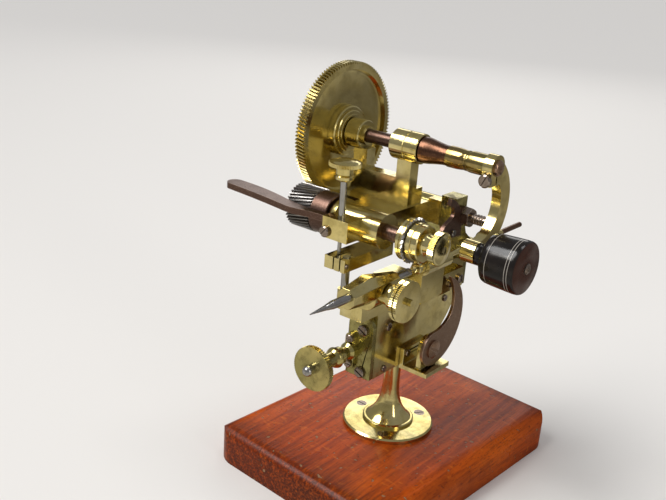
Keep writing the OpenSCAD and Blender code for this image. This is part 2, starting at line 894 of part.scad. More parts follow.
module poppet_nose(shoulder_y) {
    len = shoulder_y - poppet_front_y - 1;
    on_runner() {
        octagon_y(poppet_front_y, poppet_nose_flats, 1.01);
        translate([0, poppet_front_y + 1, 0]) rotate([-90, 0, 0]) rotate([0, 0, 22.5])
            cylinder(h = len, d1 = poppet_nose_flats / cos(22.5), d2 = poppet_flats / cos(22.5),
                $fn = 8);
    }
}

module front_poppet() {
    shoulder_y = poppet_front_y + poppet_nose_len;
    color(brass) difference() {
        union() {
            on_runner() octagon_y(shoulder_y, poppet_flats, poppet_back_y - shoulder_y);
            poppet_nose(shoulder_y);
            block(poppet_foot_x0, poppet_foot_x1, poppet_foot_y, poppet_back_y,
                carriage_top_z, runner_z - 1.5);
            block(poppet_foot_x0, plate_x, poppet_back_y - 1, poppet_heel_y,
                carriage_top_z, runner_z - 1.5);
        }
        on_runner() bar_y(poppet_front_y - 1, poppet_back_y + 1, runner_d + 2 * fit);
        on_runner() block(-0.4, 0.4, shoulder_y + 2, 1, -poppet_flats, 0);
        on_thumb() bar_x(thumb_tip_x - 1, runner_x, thumb_shank_d + 2 * fit);
        on_thumb() bar_x(runner_x, thumb_seat_x + 1, thumb_shank_d + 2 * loose);
        on_thumb() bar_x(thumb_seat_x, runner_x + poppet_flats, thumb_cone_d + 1);
    }
}

module stop_pin() {
    color(steel) translate([pin_x, pin_y, carriage_top_z - 9])
        cylinder(h = stop_bar_top_z + 0.4 - carriage_top_z + 9, d = pin_d);
}

module stop_bar() {
    color(brass) difference() {
        block(stop_bar_x0, stop_bar_x1, stop_bar_front_y, stop_bar_back_y,
            stop_bar_top_z - stop_bar_t, stop_bar_top_z);
        translate([pin_x, pin_y, 0]) cylinder(h = 300, d = pin_d);
        for (x = [pin_x - 0.4, pin_x - 4.4])
            block(x, x + 0.8, stop_bar_front_y - 1, stop_bar_front_y + 10, 0, 300);
        stop_bar_screw_place() bar_x(-9, 1, 1.4);
    }
}

module stop_bar_screw_place() {
    translate([stop_bar_x1, stop_bar_front_y + 1.5, stop_bar_top_z - stop_bar_t / 2])
        children();
}

module stop_bar_screw() {
    color(brown_steel) stop_bar_screw_place() rotate([0, 90, 0])
        slotted_screw(2.6, 0.8, 1.4, 8);
}

module thumb_screw() {
    collar_x0 = thumb_seat_x + side_gap;
    disc_x = collar_x0 + 5;
    r = thumb_cone_d / 2;
    color(brass) on_thumb() {
        turned_x(collar_x0, [[0, 0], [r, 0], [r, 1], [r - 1.6, 5 + eps], [0, 5 + eps]]);
        for (x = [disc_x, disc_x + 2.4]) translate([x, 0, 0]) rotate([0, 90, 0])
            knurled(thumb_d, 1.6);
        bar_x(disc_x, disc_x + 3.9, thumb_d - 1.8);
        bar_x(disc_x, disc_x + 6.2, 3.4);
        bar_x(thumb_tip_x, collar_x0 + eps, thumb_shank_d);
    }
}

module front_runner() {
    r = runner_d / 2;
    len = front_inner_y - front_tip_y;
    color(steel) on_runner() turned_y(front_inner_y, [[0, 0], [0.4, 0], [r, 3], [r, len - 15],
        [r - 0.6, len - 11], [1.2, len - 10], [0.25, len], [0, len]]);
}

module back_runner() {
    r = back_sleeve_d / 2;
    color(brass) on_runner() rotate([0, 0, 180]) turned_y(-back_inner_y, [[0, 1.6], [1.8, 0],
        [r - 0.5, 0], [r, 0.5], [r, back_sleeve_len], [back_rod_d / 2, back_sleeve_len],
        [back_rod_d / 2, back_end_y - back_inner_y - 1],
        [back_rod_d / 2 - 0.8, back_end_y - back_inner_y], [0, back_end_y - back_inner_y]]);
}

// The lead screw and its big knurled knob

knob_y = -bed_front - end_t - oval_t - stem_len - side_gap;
knob_neck = 16;
knob_t = 3;
lead_end_y = knob_y - knob_neck - knob_t - 2.6;

module lead_screw() {
    color(steel) translate([lead_x, 0, lead_z]) {
        bar_y(lead_end_y, 35, lead_d);
        translate([0, lead_end_y, 0]) sphere(d = lead_d + 0.6);
    }
}

module lead_knob() {
    n = knob_neck;
    color(brass) translate([lead_x, 0, lead_z]) difference() {
        union() {
            turned_y(knob_y, [[0, 0], [5, 0], [5.5, 1], [5, 2.4], [3.8, 3.6], [3.8, n - 4],
                [5, n - 2], [5.4, n + eps], [0, n + eps]]);
            translate([0, knob_y - n, 0]) rotate([90, 0, 0]) knurled(lead_knob_d, knob_t);
        }
        bar_y(-100, 0, lead_d);
    }
}

// The head: block, clamp block with the sleeve, and bearing frame

module head_block() {
    color(brass) difference() {
        union() {
            block(housing_x + 0.3, head_x1, head_front_y, head_back_y, head_bottom_z, head_top_z);
            block(head_x0, head_x1, wing_front_y, head_back_y, head_bottom_z, head_top_z);
            block(hinge_bar_x0, head_x1, head_back_y - eps, hinge_y, head_bottom_z + 1, head_top_z);
            translate([0, hinge_y, hinge_z]) bar_x(hinge_bar_x0, hinge_bar_x1, hinge_bar_d);
            block(head_x1 - eps, hinge_bar_x1, hinge_y - 6.5, hinge_y, hinge_z - 6.5, hinge_z + 6.5);
            block(head_x0, front_post_x + post_w, frame_t / 2, frame_t / 2 + rib_t,
                head_top_z - eps, head_top_z + rib_h);
        }
        on_spindle() bar_x(-30, 10, sleeve_d);
        on_spindle() bar_x(housing_x - 20, block_x + 0.2, 2 * boss_r + 0.4);
        translate([0, hinge_y, hinge_z]) {
            bar_x(hinge_bar_x0 - 1, hinge_bar_x0 + pivot_reach + 0.5, pivot_pin_d + 2 * fit);
            bar_x(hinge_bar_x1 - pivot_reach - 0.5, hinge_bar_x1 + 1, pivot_pin_d + 2 * fit);
        }
        frame_screw_places() bar_y(-rib_t - 1, 1, small_screw_d + 2 * loose);
    }
}

module frame_screw_places() {
    for (x = [head_x0 + 3, front_post_x + 5])
        translate([x, frame_t / 2 + rib_t, head_top_z + rib_h - 2.8]) children();
}

module frame_screws() {
    color(brown_steel) {
        frame_screw_places() rotate([-90, 0, 0]) rotate([0, 0, 30])
            slotted_screw(4.2, 1.3, small_screw_d, rib_t + 4);
    }
}

module bearing_frame() {
    top_z = arbor_z - eye_d / 2 + 1.5;
    web_z = head_top_z + frame_web_h;
    rear_x = rear_eye_x + rear_eye_w;
    color(brass) difference() {
        union() {
            slab_y(-frame_t / 2, frame_t) {
                translate([head_x0, head_top_z]) square([front_post_x + post_w - head_x0,
                    frame_web_h]);
                translate([rear_post_x, head_top_z]) square([post_w, top_z - head_top_z]);
                translate([front_post_x, head_top_z]) square([post_w, top_z - head_top_z]);
            }
            on_arbor() turned_x(rear_eye_x, [[0, 0], [eye_d / 2 - 0.5, 0], [eye_d / 2, 0.5],
                [eye_d / 2, rear_eye_w - 0.5], [eye_d / 2 - 0.5, rear_eye_w],
                [5, rear_eye_w], [5, rear_eye_w + rear_nose_w], [0, rear_eye_w + rear_nose_w]]);
            on_arbor() turned_x(front_eye_x, [[0, 0], [eye_d / 2 - 0.4, 0], [eye_d / 2, 0.4],
                [eye_d / 2, 8.2], [eye_d / 2 - 0.5, 8.5], [eye_d / 2 - 0.5, 8.8],
                [eye_d / 2, 9.1], [eye_d / 2, front_eye_w - 0.4],
                [eye_d / 2 - 0.4, front_eye_w], [0, front_eye_w]]);
        }
        on_arbor() bar_x(-60, 60, arbor_d + 2 * fit);
        frame_screw_places() bar_y(-rib_t - 4, 0, small_screw_d);
    }
}

module spindle_housing() {
    color(brass) difference() {
        union() {
            on_spindle() bar_x(block_x, sleeve_end_x, sleeve_d);
            on_spindle() turned_x(housing_x, [[0, 0], [boss_r - 2.4, 0], [boss_r - 0.7, 0.7],
                [boss_r, 2.4], [boss_r, housing_boss_w], [0, housing_boss_w]]);
            block(block_x, block_x + block_w, block_front_y, -spindle_y,
                block_bottom_z, block_top_z);
        }
        on_spindle() bar_x(housing_x - 1, sleeve_end_x - 2, journal_d + 2 * fit);
        on_spindle() bar_x(0, sleeve_end_x + 1, spindle_d + 2 * fit);
        translate([stop_x, stop_y, 0]) cylinder(h = 300, d = stop_d + 2 * fit);
        translate([0, lever_y, lever_z]) bar_x(block_x - 1, block_x + tang_len, tang_d);
        housing_screw_place() bar_y(-1, 8, 3);
    }
}

module housing_screw_place() {
    translate([block_x + 2.2, block_front_y, block_bottom_z + 3.2]) children();
}

module housing_screw() {
    color(brown_steel) housing_screw_place() rotate([90, 0, 0]) rotate([0, 0, 50])
        slotted_screw(5.6, 1.8, 3, 7);
}

// The flat steel lever that lifts the head, an S in plan with a broad round end. Its edges are
// curves given as [x, y]
lever_far = [[block_x, lever_y + 2.6], [block_x - 26, lever_y - 2], [block_x - 32, lever_y + 9],
    [lever_tip_x + lever_tip_r, lever_y + 8.7]];
lever_near_tip = [[lever_tip_x + lever_tip_r, lever_y + 8.7 - 2 * lever_tip_r],
    [lever_tip_x + 22, lever_y - 1.5], [lever_bend_x - 12, lever_y - 3],
    [lever_bend_x, lever_y - 4.9]];
lever_near_root = [[lever_bend_x, lever_y - 4.9], [lever_bend_x + 6, lever_y - 6.2],
    [lever_bend_x + 11, lever_y - 2.2], [block_x, lever_y - 2]];

module lift_lever() {
    color(brown_steel) {
        translate([0, 0, lever_z - lever_t / 2]) linear_extrude(height = lever_t) {
            polygon(concat(curve(lever_far, 12), curve(lever_near_tip, 8),
                curve(lever_near_root, 8)));
            translate([lever_tip_x + lever_tip_r, lever_y + 8.7 - lever_tip_r])
                circle(r = lever_tip_r);
        }
        translate([0, lever_y, lever_z]) bar_x(block_x - eps, block_x + tang_len, tang_d);
    }
}

// The depth stop: a rod through the clamp block with a domed knob

module stop_rod() {
    color(steel) translate([stop_x, stop_y, 0]) {
        translate([0, 0, stop_bar_top_z + stop_gap]) cylinder(h = 6, d = 2);
        translate([0, 0, stop_bar_top_z + stop_gap + 6 - eps]) cylinder(h = 1.2, d1 = 2, d2 = stop_d);
        translate([0, 0, stop_bar_top_z + stop_gap + 7]) cylinder(h = stop_len - 7, d = stop_d);
    }
}

module stop_knob() {
    r = stop_knob_d / 2;
    top_z = stop_bar_top_z + stop_gap + stop_len;
    color(brass) translate([stop_x, stop_y, top_z - 7.5]) difference() {
        union() {
            rotate_extrude() polygon([[0, 0], [3.6, 0], [4.4, 0.8], [4.4, 2.2], [3.9, 2.8],
                [4.4, 3.4], [4.4, 7.2 + eps], [0, 7.2 + eps]]);
            translate([0, 0, 7.2]) knurled(stop_knob_d, 1.8);
            translate([0, 0, 9 - eps]) rotate_extrude() polygon([[0, 0], [r - 0.8, 0],
                [r - 2.5, 0.8], [r - 5, 1.3], [0, 1.6]]);
        }
        translate([0, 0, -1]) cylinder(h = 8.5, d = stop_d);
    }
}

// The arbor with the drive gear, the turned sleeves and the crank

module crank_arbor() {
    color(brown_steel) on_arbor() difference() {
        turned_x(gear_x - 6, [[0, 0], [2, 0], [2.5, 0.5], [2.5, 4], [arbor_d / 2, 4],
            [arbor_d / 2, crank_face_x - gear_x + 6], [0, crank_face_x - gear_x + 6]]);
        bar_x(crank_face_x - 8, crank_face_x + 1, cap_shank_d);
    }
}

module drive_gear() {
    rim_in = gear_r - dedendum - 2.4;
    web_back = 0.8;
    web_front = gear_w - 2.8;
    color(brass) on_arbor() difference() {
        translate([gear_x, 0, 0]) rotate([0, 90, 0])
            helical_teeth(gear_r, gear_teeth, gear_w, 1, mesh_angle, gear_w / 2, 2);
        turned_x(gear_x, [[hub_d / 2, -1], [rim_in - 0.6, -1], [rim_in, web_back - 0.8],
            [rim_in - 1, web_back], [hub_d / 2, web_back]]);
        turned_x(gear_x, [[hub_flange_d / 2, web_front], [rim_in - 3, web_front],
            [rim_in - 1, web_front + 0.4], [rim_in, gear_w + 1], [hub_flange_d / 2, gear_w + 1]]);
        bar_x(gear_x - 1, gear_front_x + 1, hub_bore_d);
    }
}

module gear_hub() {
    front = rear_eye_x - side_gap - gear_front_x;
    color(brass) on_arbor() difference() {
        turned_x(gear_x, [[0, -2], [hub_d / 2, -2], [hub_d / 2, -eps], [hub_bore_d / 2, -eps],
            [hub_bore_d / 2, gear_w], [hub_flange_d / 2 - 0.3, gear_w],
            [hub_flange_d / 2 - 0.3, gear_w + 0.8], [hub_flange_d / 2 - 1, gear_w + 1.2],
            [11, gear_w + 1.2], [11, gear_w + 1.9], [10.6, gear_w + 2.2], [9.2, gear_w + 2.2],
            [9.2, gear_w + front - 0.2], [9, gear_w + front],
            [0, gear_w + front]]);
        bar_x(gear_x - 3, rear_eye_x + 1, arbor_d);
    }
}

module gear_nut() {
    color(brass) on_arbor() difference() {
        intersection() {
            translate([gear_x - 5.2, 0, 0]) rotate([0, 90, 0]) cylinder(h = 3.2, d = 11, $fn = 6);
            turned_x(gear_x - 5.2, [[0, 0], [4.6, 0], [6, 1.2], [6, 3.2], [0, 3.2]]);
        }
        bar_x(gear_x - 7, gear_x, 5);
    }
}

module arbor_barrel() {
    color(brown_steel) on_arbor() difference() {
        turned_x(barrel_x, [[0, 0], [6.2, 0], [6.6, 0.4], [6.6, 2.4], [6.3, 4.4], [5.6, 8],
            [5, 12], [4.9, barrel_w], [0, barrel_w]]);
        bar_x(barrel_x - 1, barrel_x + barrel_w + 1, arbor_d);
    }
}

module arbor_collar() {
    color(dark_brass) on_arbor() difference() {
        turned_x(collar_x, [[0, 0], [5, 0], [5.3, 0.3], [5.3, 5], [5, 8.4], [4.7, 9.8], [5, 10.2],
            [5, 10.8], [4.5, 11.2], [4.5, 11.8], [5.2, 12.4], [5.3, 13.4], [5.3, collar_w - 0.3],
            [5.1, collar_w], [0, collar_w]]);
        bar_x(collar_x - 1, collar_x + collar_w + 1, arbor_d);
    }
}

crank_r = (pow(crank_throw / 2, 2) + pow(crank_bulge, 2)) / (2 * crank_bulge);
crank_half = acos((crank_r - crank_bulge) / crank_r);
handle_y = -crank_throw * sin(crank_angle);
handle_z = -crank_throw * cos(crank_angle);
clamp_r = 5.6;
clamp_screw_d = 2.6;

module on_handle() {
    translate([0, handle_y, arbor_z + handle_z]) children();
}

module bowed_arm() {
    offset_in = crank_bulge - crank_r;
    rotate([-crank_angle, 0, 0]) translate([crank_x, offset_in, -crank_throw / 2])
        rotate([90, 0, 90]) rotate([0, 0, -crank_half])
        rotate_extrude(angle = 2 * crank_half, $fn = 96)
        translate([crank_r - crank_w / 2, 0]) square([crank_w, crank_t]);
}

module crank_arm() {
    color(brass) difference() {
        union() {
            on_arbor() bar_x(crank_x, crank_face_x, crank_boss_d);
            on_arbor() bowed_arm();
            on_arbor() block(crank_x, crank_face_x, -clamp_r, clamp_r, -8.6, 0);
            on_handle() bar_x(crank_x, crank_x + eye_len, crank_eye_d);
        }
        on_arbor() bar_x(crank_x - 1, crank_face_x + 1, arbor_d);
        on_arbor() block(crank_x - 1, crank_face_x + 1, -0.5, 0.5, -20, 0);
        on_handle() bar_x(crank_x - 1, crank_x + eye_len + 1, handle_pin_d);
        clamp_screw_place() bar_y(-1, 2 * clamp_r, clamp_screw_d);
    }
}

module clamp_screw_place() {
    translate([crank_x + crank_t / 2, -clamp_r, arbor_z - 5.8]) children();
}

module crank_clamp_screw() {
    color(brown_steel) clamp_screw_place() rotate([90, 0, 0]) rotate([0, 0, 65])
        slotted_screw(6.4, 2, clamp_screw_d, 2 * clamp_r);
}

module crank_cap_screw() {
    color(brown_steel) on_arbor() turned_x(crank_face_x, [[0, -7], [cap_shank_d / 2, -7],
        [cap_shank_d / 2, 0], [4, 0], [4, 0.6], [3.3, 1.4], [2, 1.9], [0, 2.1]]);
}

module handle_pin() {
    grip_end = crank_x + eye_len + side_gap + grip_neck + handle_len;
    color(brown_steel) on_handle() turned_x(crank_x, [[0, 0], [handle_pin_d / 2, 0],
        [handle_pin_d / 2, grip_end - crank_x + side_gap], [2.6, grip_end - crank_x + side_gap],
        [2.6, grip_end - crank_x + side_gap + 0.4], [1.6, grip_end - crank_x + side_gap + 1],
        [0, grip_end - crank_x + side_gap + 1.2]]);
}

module crank_handle() {
    r = handle_d / 2;
    n = grip_neck;
    e = grip_neck + handle_len;
    color(ebony) on_handle() difference() {
        turned_x(crank_x + eye_len + side_gap, [[0, 0], [5.2, 0], [5.6, 0.4], [5.6, 1.4],
            [5, 2.6], [5.2, 3.8], [6.4, n - 1.2], [r - 2.6, n - 0.4], [r - 1.2, n + 0.6],
            [r - 0.8, n + 1.8], [r - 0.5, n + 5], [r - 0.1, e - 6], [r, e - 3],
            [r - 0.1, e - 1.2], [r - 0.4, e - 0.4], [r - 1.2, e], [0, e]]);
        bar_x(crank_x, crank_x + 60, handle_pin_d + 2 * fit);
    }
}

// The cutter spindle with its pinion, drum, flange, cutter and nut

module cutter_spindle() {
    r = spindle_d / 2;
    j0 = housing_x - pinion_x + 4;
    j1 = sleeve_end_x - 2 - side_gap - pinion_x + 3;
    color(brown_steel) on_spindle() turned_x(pinion_x - 3, [[0, 0], [4.4, 0], [5, 0.6], [5, 3],
        [r, 3], [r, j0], [journal_d / 2, j0], [journal_d / 2, j1], [r, j1],
        [r, cutter_x - pinion_x + 3], [nose_d / 2, cutter_x - pinion_x + 3],
        [nose_d / 2, nut_x + nut_w - pinion_x + 3], [1.5, nut_x + nut_w - pinion_x + 6],
        [1.5, end_knob_x + end_knob_w - pinion_x + 3], [0, end_knob_x + end_knob_w - pinion_x + 3]]);
}

module pinion() {
    phase = mesh_angle + 180 + 180 / pinion_teeth;
    color(steel) on_spindle() difference() {
        translate([pinion_x, 0, 0]) rotate([0, 90, 0]) helical_teeth(pinion_r, pinion_teeth,
            pinion_w, -1, phase, gear_x + gear_w / 2 - pinion_x, 5);
        bar_x(pinion_x - 1, pinion_x + pinion_w + 1, spindle_d);
    }
}

module spindle_drum() {
    r = pinion_r + addendum - 0.4;
    color(brown_steel) on_spindle() difference() {
        turned_x(drum_x, [[0, 0], [r - 0.4, 0], [r, 0.4], [r, drum_w - 0.4], [r - 0.4, drum_w],
            [0, drum_w]]);
        bar_x(drum_x - 1, drum_x + drum_w + 1, spindle_d);
    }
}

module cutter_flange() {
    r = cutter_d / 2;
    color(brass) on_spindle() difference() {
        turned_x(cutter_x - 7, [[0, 0], [5.4, 0], [5.8, 0.4], [5.8, 2.6], [r - 1.6, 3],
            [r - 0.9, 3.6], [r - 0.9, 5], [r - 1.4, 5.3], [r - 1.4, 5.6], [r - 0.9, 5.9],
            [r - 0.9, 7], [0, 7]]);
        bar_x(cutter_x - 8, cutter_x + 1, spindle_d);
    }
}

module cutter() {
    r = cutter_d / 2;
    saw = [for (i = [0 : cutter_teeth - 1], j = [0, 1])
        let (a = 360 / cutter_teeth * (i + j * 0.25), q = r - j * 1.1) [q * cos(a), q * sin(a)]];
    color(steel) on_spindle() difference() {
        translate([cutter_x, 0, 0]) rotate([0, 90, 0]) linear_extrude(height = cutter_t)
            polygon(saw);
        bar_x(cutter_x - 1, cutter_x + cutter_t + 1, nose_d);
    }
}

module cutter_nut() {
    color(brass) on_spindle() difference() {
        turned_x(nut_x, [[0, 0], [9.2, 0], [9.5, 0.3], [9.5, 2.6], [8.8, 3], [8.8, 3.4],
            [9.1, 3.6], [9.1, nut_w - 1.4], [8.5, nut_w - 1], [5.6, nut_w - 0.8],
            [5.6, nut_w - 0.4], [5.2, nut_w], [4, nut_w + 4.2], [0, nut_w + 4.2]]);
        bar_x(nut_x - 1, nut_x + nut_w + 5, nose_d);
    }
}

module end_knob() {
    color(brass) on_spindle() difference() {
        union() {
            translate([end_knob_x, 0, 0]) rotate([0, 90, 0]) knurled(end_knob_d, end_knob_w);
            turned_x(end_knob_x + end_knob_w - eps, [[0, 0], [end_knob_d / 2 - 0.8, 0],
                [end_knob_d / 2 - 3, 0.8], [2.6, 1.4], [0, 1.5]]);
        }
        bar_x(end_knob_x - 1, end_knob_x + end_knob_w, 3);
        turned_x(end_knob_x + end_knob_w - 1, [[0, 0.9], [1.7, 0.9], [1.7, 4], [0, 4]]);
    }
}

module set_screw() {
    color(steel) on_spindle() translate([end_knob_x + end_knob_w, 0, 0]) rotate([0, 90, 0])
        difference() {
            cylinder(h = 1.9, d = 3.3);
            translate([-3, -0.3, 1.2]) cube([6, 0.6, 2]);
        }
}

wood_base();
base_flange();
flange_screws();
column();
bed();
end_plate();
end_plate_screws();
lead_bearing();
lead_bearing_screws();
standard();
standard_screws();
back_poppet();
back_poppet_screws();
spring_bracket();
bracket_screws();
half_moon_spring();
spring_screw();
pivot_screws();
pivot_nuts();
lock_screw();
rail_screw();
guide_finger();
finger_screw();
carriage();
front_poppet();
stop_pin();
stop_bar();
stop_bar_screw();
thumb_screw();
front_runner();
back_runner();
lead_screw();
lead_knob();
head_block();
bearing_frame();
frame_screws();
spindle_housing();
housing_screw();
lift_lever();
stop_rod();
stop_knob();
crank_arbor();
drive_gear();
gear_hub();
gear_nut();
arbor_barrel();
arbor_collar();
crank_arm();
crank_clamp_screw();
crank_cap_screw();
handle_pin();
crank_handle();
cutter_spindle();
pinion();
spindle_drum();
cutter_flange();
cutter();
cutter_nut();
end_knob();
set_screw();
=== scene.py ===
"""Studio scene of the rounding-up tool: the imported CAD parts, with materials and fine details.

Lengths are in metres in the shared frame: +X along the arbor to the crank, -Y to the user, +Z up.
Names that end in _MM hold millimetres. Colours are linear.
"""
import math

import bmesh
import bpy
from mathutils import Matrix, Vector


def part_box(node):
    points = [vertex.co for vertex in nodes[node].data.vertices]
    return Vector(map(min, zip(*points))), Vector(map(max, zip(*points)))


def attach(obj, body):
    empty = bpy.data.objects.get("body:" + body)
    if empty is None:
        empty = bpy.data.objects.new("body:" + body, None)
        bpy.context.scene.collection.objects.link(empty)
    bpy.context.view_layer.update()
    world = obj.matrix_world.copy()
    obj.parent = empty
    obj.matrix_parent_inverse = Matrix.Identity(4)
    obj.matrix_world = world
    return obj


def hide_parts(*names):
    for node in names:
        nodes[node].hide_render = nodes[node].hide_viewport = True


MM = 0.001

# The camera, recovered from the photograph
CAMERA_AZIMUTH = math.radians(38.21)
CAMERA_ELEVATION = math.radians(20.55)
CAMERA_ROLL = math.radians(4.15)
CAMERA_PLACE = Vector((245.8, -372.3, 285.4)) * MM
FOCAL_PX = 911.6
PHOTO_WIDTH_PX = 666
SENSOR_MM = 36.0
NEAREST_SEEN = 0.01

# Colours of the metals
BRASS = (0.69, 0.56, 0.21)
BRASS_PALE = (0.80, 0.69, 0.34)
BRASS_GREEN = (0.44, 0.39, 0.15)
BRASS_OLIVE = (0.36, 0.32, 0.12)
BRASS_DARK = (0.15, 0.115, 0.04)
BRASS_STAIN = (0.11, 0.035, 0.024)
BRONZE = (0.34, 0.22, 0.08)
COPPER = (0.12, 0.058, 0.035)
# Worn copper edges, with a painted highlight on them
COPPER_WORN_HIGHLIT = (0.27, 0.14, 0.08)
COPPER_BRIGHT = (0.38, 0.23, 0.15)
# The copper screws' edges, worn and with a painted highlight
COPPER_EDGE = (0.60, 0.45, 0.34)
STEEL = (0.44, 0.43, 0.41)
STEEL_DULL = (0.34, 0.32, 0.30)
SCREW_STEEL = (0.27, 0.21, 0.17)
# The screws' edges, worn and with a painted highlight
SCREW_EDGE = (0.55, 0.48, 0.42)
BROWN_STEEL = (0.13, 0.075, 0.056)
# Browned steel's edges, worn and with a painted highlight
BROWN_WORN_HIGHLIT = (0.38, 0.26, 0.20)
SPRING_BROWN = (0.30, 0.19, 0.13)
# The spring's edges, worn and with a painted highlight
SPRING_WORN_HIGHLIT = (0.60, 0.44, 0.34)
# Rust stains, and also the painted shade in the steel's corners
RUST_AND_SHADE = (0.045, 0.024, 0.015)

# Colours of the wood
WOOD_RED = (0.46, 0.066, 0.003)
WOOD_DEEP = (0.28, 0.036, 0.003)
WOOD_GOLD = (0.58, 0.105, 0.005)
WOOD_STREAK = (0.14, 0.020, 0.004)
WOOD_PORE = (0.05, 0.010, 0.004)
WOOD_RAY = (0.66, 0.16, 0.012)
WOOD_BLOTCH = (0.14, 0.022, 0.005)
WOOD_END = (0.055, 0.010, 0.004)
WOOD_DENT = (0.035, 0.012, 0.006)
WOOD_BARE = (0.35, 0.20, 0.10)
# Painted shade in the wood's corners and under the parts that stand on it
WOOD_CREVICE_SHADE = (0.04, 0.010, 0.004)

# Colours of the handle
EBONITE = (0.010, 0.008, 0.007)
EBONITE_FADED = (0.030, 0.018, 0.012)
EBONITE_BROWNED = (0.060, 0.020, 0.012)
DUST = (0.42, 0.38, 0.33)

# Colours of the studio
FLOOR = (0.80, 0.78, 0.75)
# The painted reflection's dark and light, which glossy rays see on the floor instead of its own
# colour
PAINTED_REFLECTION_DARK = (0.07, 0.06, 0.048)
PAINTED_REFLECTION_LIGHT = (0.72, 0.69, 0.62)
WORLD_GLOW = (0.26, 0.26, 0.27)
BACKDROP = (0.70, 0.68, 0.65)

# Spacing of the tool marks, and how many times longer than wide the brushed ones are
LATHE_MARKS_MM = 0.12
GRIP_MARKS_MM = 0.2
BRUSH_MARKS_MM = 0.16
BRUSH_STRETCH = 40

# How far the wood's grain turns from Y
GRAIN_TURN = math.radians(3.0)
# Marks on the wood, the handle and the back runner, measured from their ends
DARK_FRONT_MM = 26.0
DARK_BACK_MM = 18.0
HANDLE_RINGS_MM = (3.2, 4.6, 15.2)
RUNNER_STAIN_MM = 22.0

# Edges that turn by more than the first angle are worn, and those below the second look smooth
WORN_ANGLE = math.radians(35)
SMOOTH_ANGLE = math.radians(28)
WORN_STEPS = 3
WELD_MM = 0.001

# Width of each part's worn edges, and of those of the two pieces that replace a part
EDGE_MM = {
    "bed": 0.35, "end_plate": 0.35, "standard": 0.5, "back_poppet": 0.6, "carriage": 0.5,
    "stop_bar": 0.4, "spring_bracket": 0.4, "head_block": 0.5, "bearing_frame": 0.4,
    "spindle_housing": 0.5, "lift_lever": 0.7, "guide_finger": 0.5, "crank_arm": 0.45,
    "pivot_nuts": 0.25, "gear_nut": 0.25,
}
POPPET_EDGE_MM = 0.35
SPRING_EDGE_MM = 0.45

# The front poppet's bar: sections of (y from its front end, x and z from the runner's axis,
# width over flats)
POPPET_SECTIONS_MM = ((0.0, -1.7, -1.2, 9.6), (15.0, -2.0, -0.8, 13.0), (35.0, -0.4, -0.4, 6.8))
# Its foot, and the heel behind the foot: outlines of (x, z) and ends in y, all from the lowest
# corner of the CAD poppet. The foot's outer side is the sweep.
FOOT_SWEEP_MM = ((12.5, 0.0), (17.5, 0.0), (20.5, 2.5), (20.5, 10.85))
FOOT_SWEEP_STEPS = 12
FOOT_TOP_MM = ((14.0, 10.85), (14.0, 8.95), (12.5, 7.45), (0.0, 7.45), (0.0, 0.0))
FOOT_Y_MM = (21.0, 31.0)
HEEL_MM = ((0.0, 0.0), (5.5, 0.0), (5.5, 7.45), (0.0, 7.45))
HEEL_Y_MM = (30.0, 39.0)
# The clamp screw's boss, as (x from the runner's axis, radius)
BOSS_MM = ((-3.0, 5.0), (4.6, 5.0), (5.0, 4.6))
BOSS_SIDES = 48

# The half-moon spring: arcs for its outer edge and its foot, with their angles from +Y in
# degrees, and a curve for its inner edge, as (y, z) from the middle of the foot
SPRING_RADIUS_MM = 25.0
SPRING_ANGLES = (70.0, -90.0)
SPRING_STEPS = 40
SPRING_FOOT_RADIUS_MM = 9.5
SPRING_FOOT_ANGLES = (-93.0, -270.0)
SPRING_FOOT_STEPS = 26
SPRING_INNER_MM = ((0.0, 9.5), (13.0, 9.0), (24.0, 20.0), (9.55, 38.5))
SPRING_INNER_STEPS = 24

# The heads of the small screws in the plate's face, with heights from the face
SCREW_RADIUS_MM = 1.9
SCREW_SIDES = 40
SCREW_BOTTOM_MM = -0.2
SLOT_FLOOR_MM = 0.28
SLOT_SIDES_FROM_MM = 0.24
SCREW_TOP_MM = 0.8
SCREW_CHAMFER_MM = 0.18
SLOT_HALF_WIDTH_MM = 0.25
# The height of the CAD screw's head, and the other screws' (y, z) from that screw
RAIL_SCREW_TOP_MM = 1.0
BACK_SCREW_MM = (52.0, 0.8)
LOW_SCREW_MM = (-1.0, -23.5)

# The thread ridges of the right pivot screw, which fade at both ends. They start some way in
# from the screw's outer end, and steps are in one turn.
THREAD_START_MM = 7.4
THREAD_PITCH_MM = 1.6
THREAD_TURNS = 4
THREAD_STEPS = 28
THREAD_FADE_STEPS = 10
THREAD_SIDES = 8
THREAD_RIDGE_MM = 0.38
THREAD_HALF_WIDTH_MM = 0.5
THREAD_SUNK_MM = 0.02
# Keeps the points of a faded end apart
THREAD_APART_MM = 0.001

# The studio
FLOOR_RADIUS = 8.0
FLOOR_SIDES = 96
LAMP_TARGET = Vector((0.0, 0.0, 0.12))
SUN_TOWARD = Vector((-0.5, -0.55, 1.0))
SUN_STRENGTH = 2.15
SUN_ANGLE = math.radians(30)
# Each lamp's name, place, width and height, power and colour
LAMPS = (
    ("key", (-0.45, -0.80, 0.85), (0.28, 0.18), 2.0, (1.0, 0.97, 0.92)),
    ("fill", (1.10, -0.25, 0.50), (0.20, 0.70), 1.6, (1.0, 0.96, 0.92)),
    ("back", (-0.74, 1.12, 0.66), (0.80, 0.36), 1.8, (1.0, 0.98, 0.94)),
    ("top", (0.10, 0.25, 1.05), (0.30, 0.30), 1.4, (1.0, 1.0, 1.0)),
)

# A Mix node's inputs and output, by number, when it mixes colours
MIX_SHARE = 0
MIX_A = 6
MIX_B = 7
MIX_COLOUR = 2

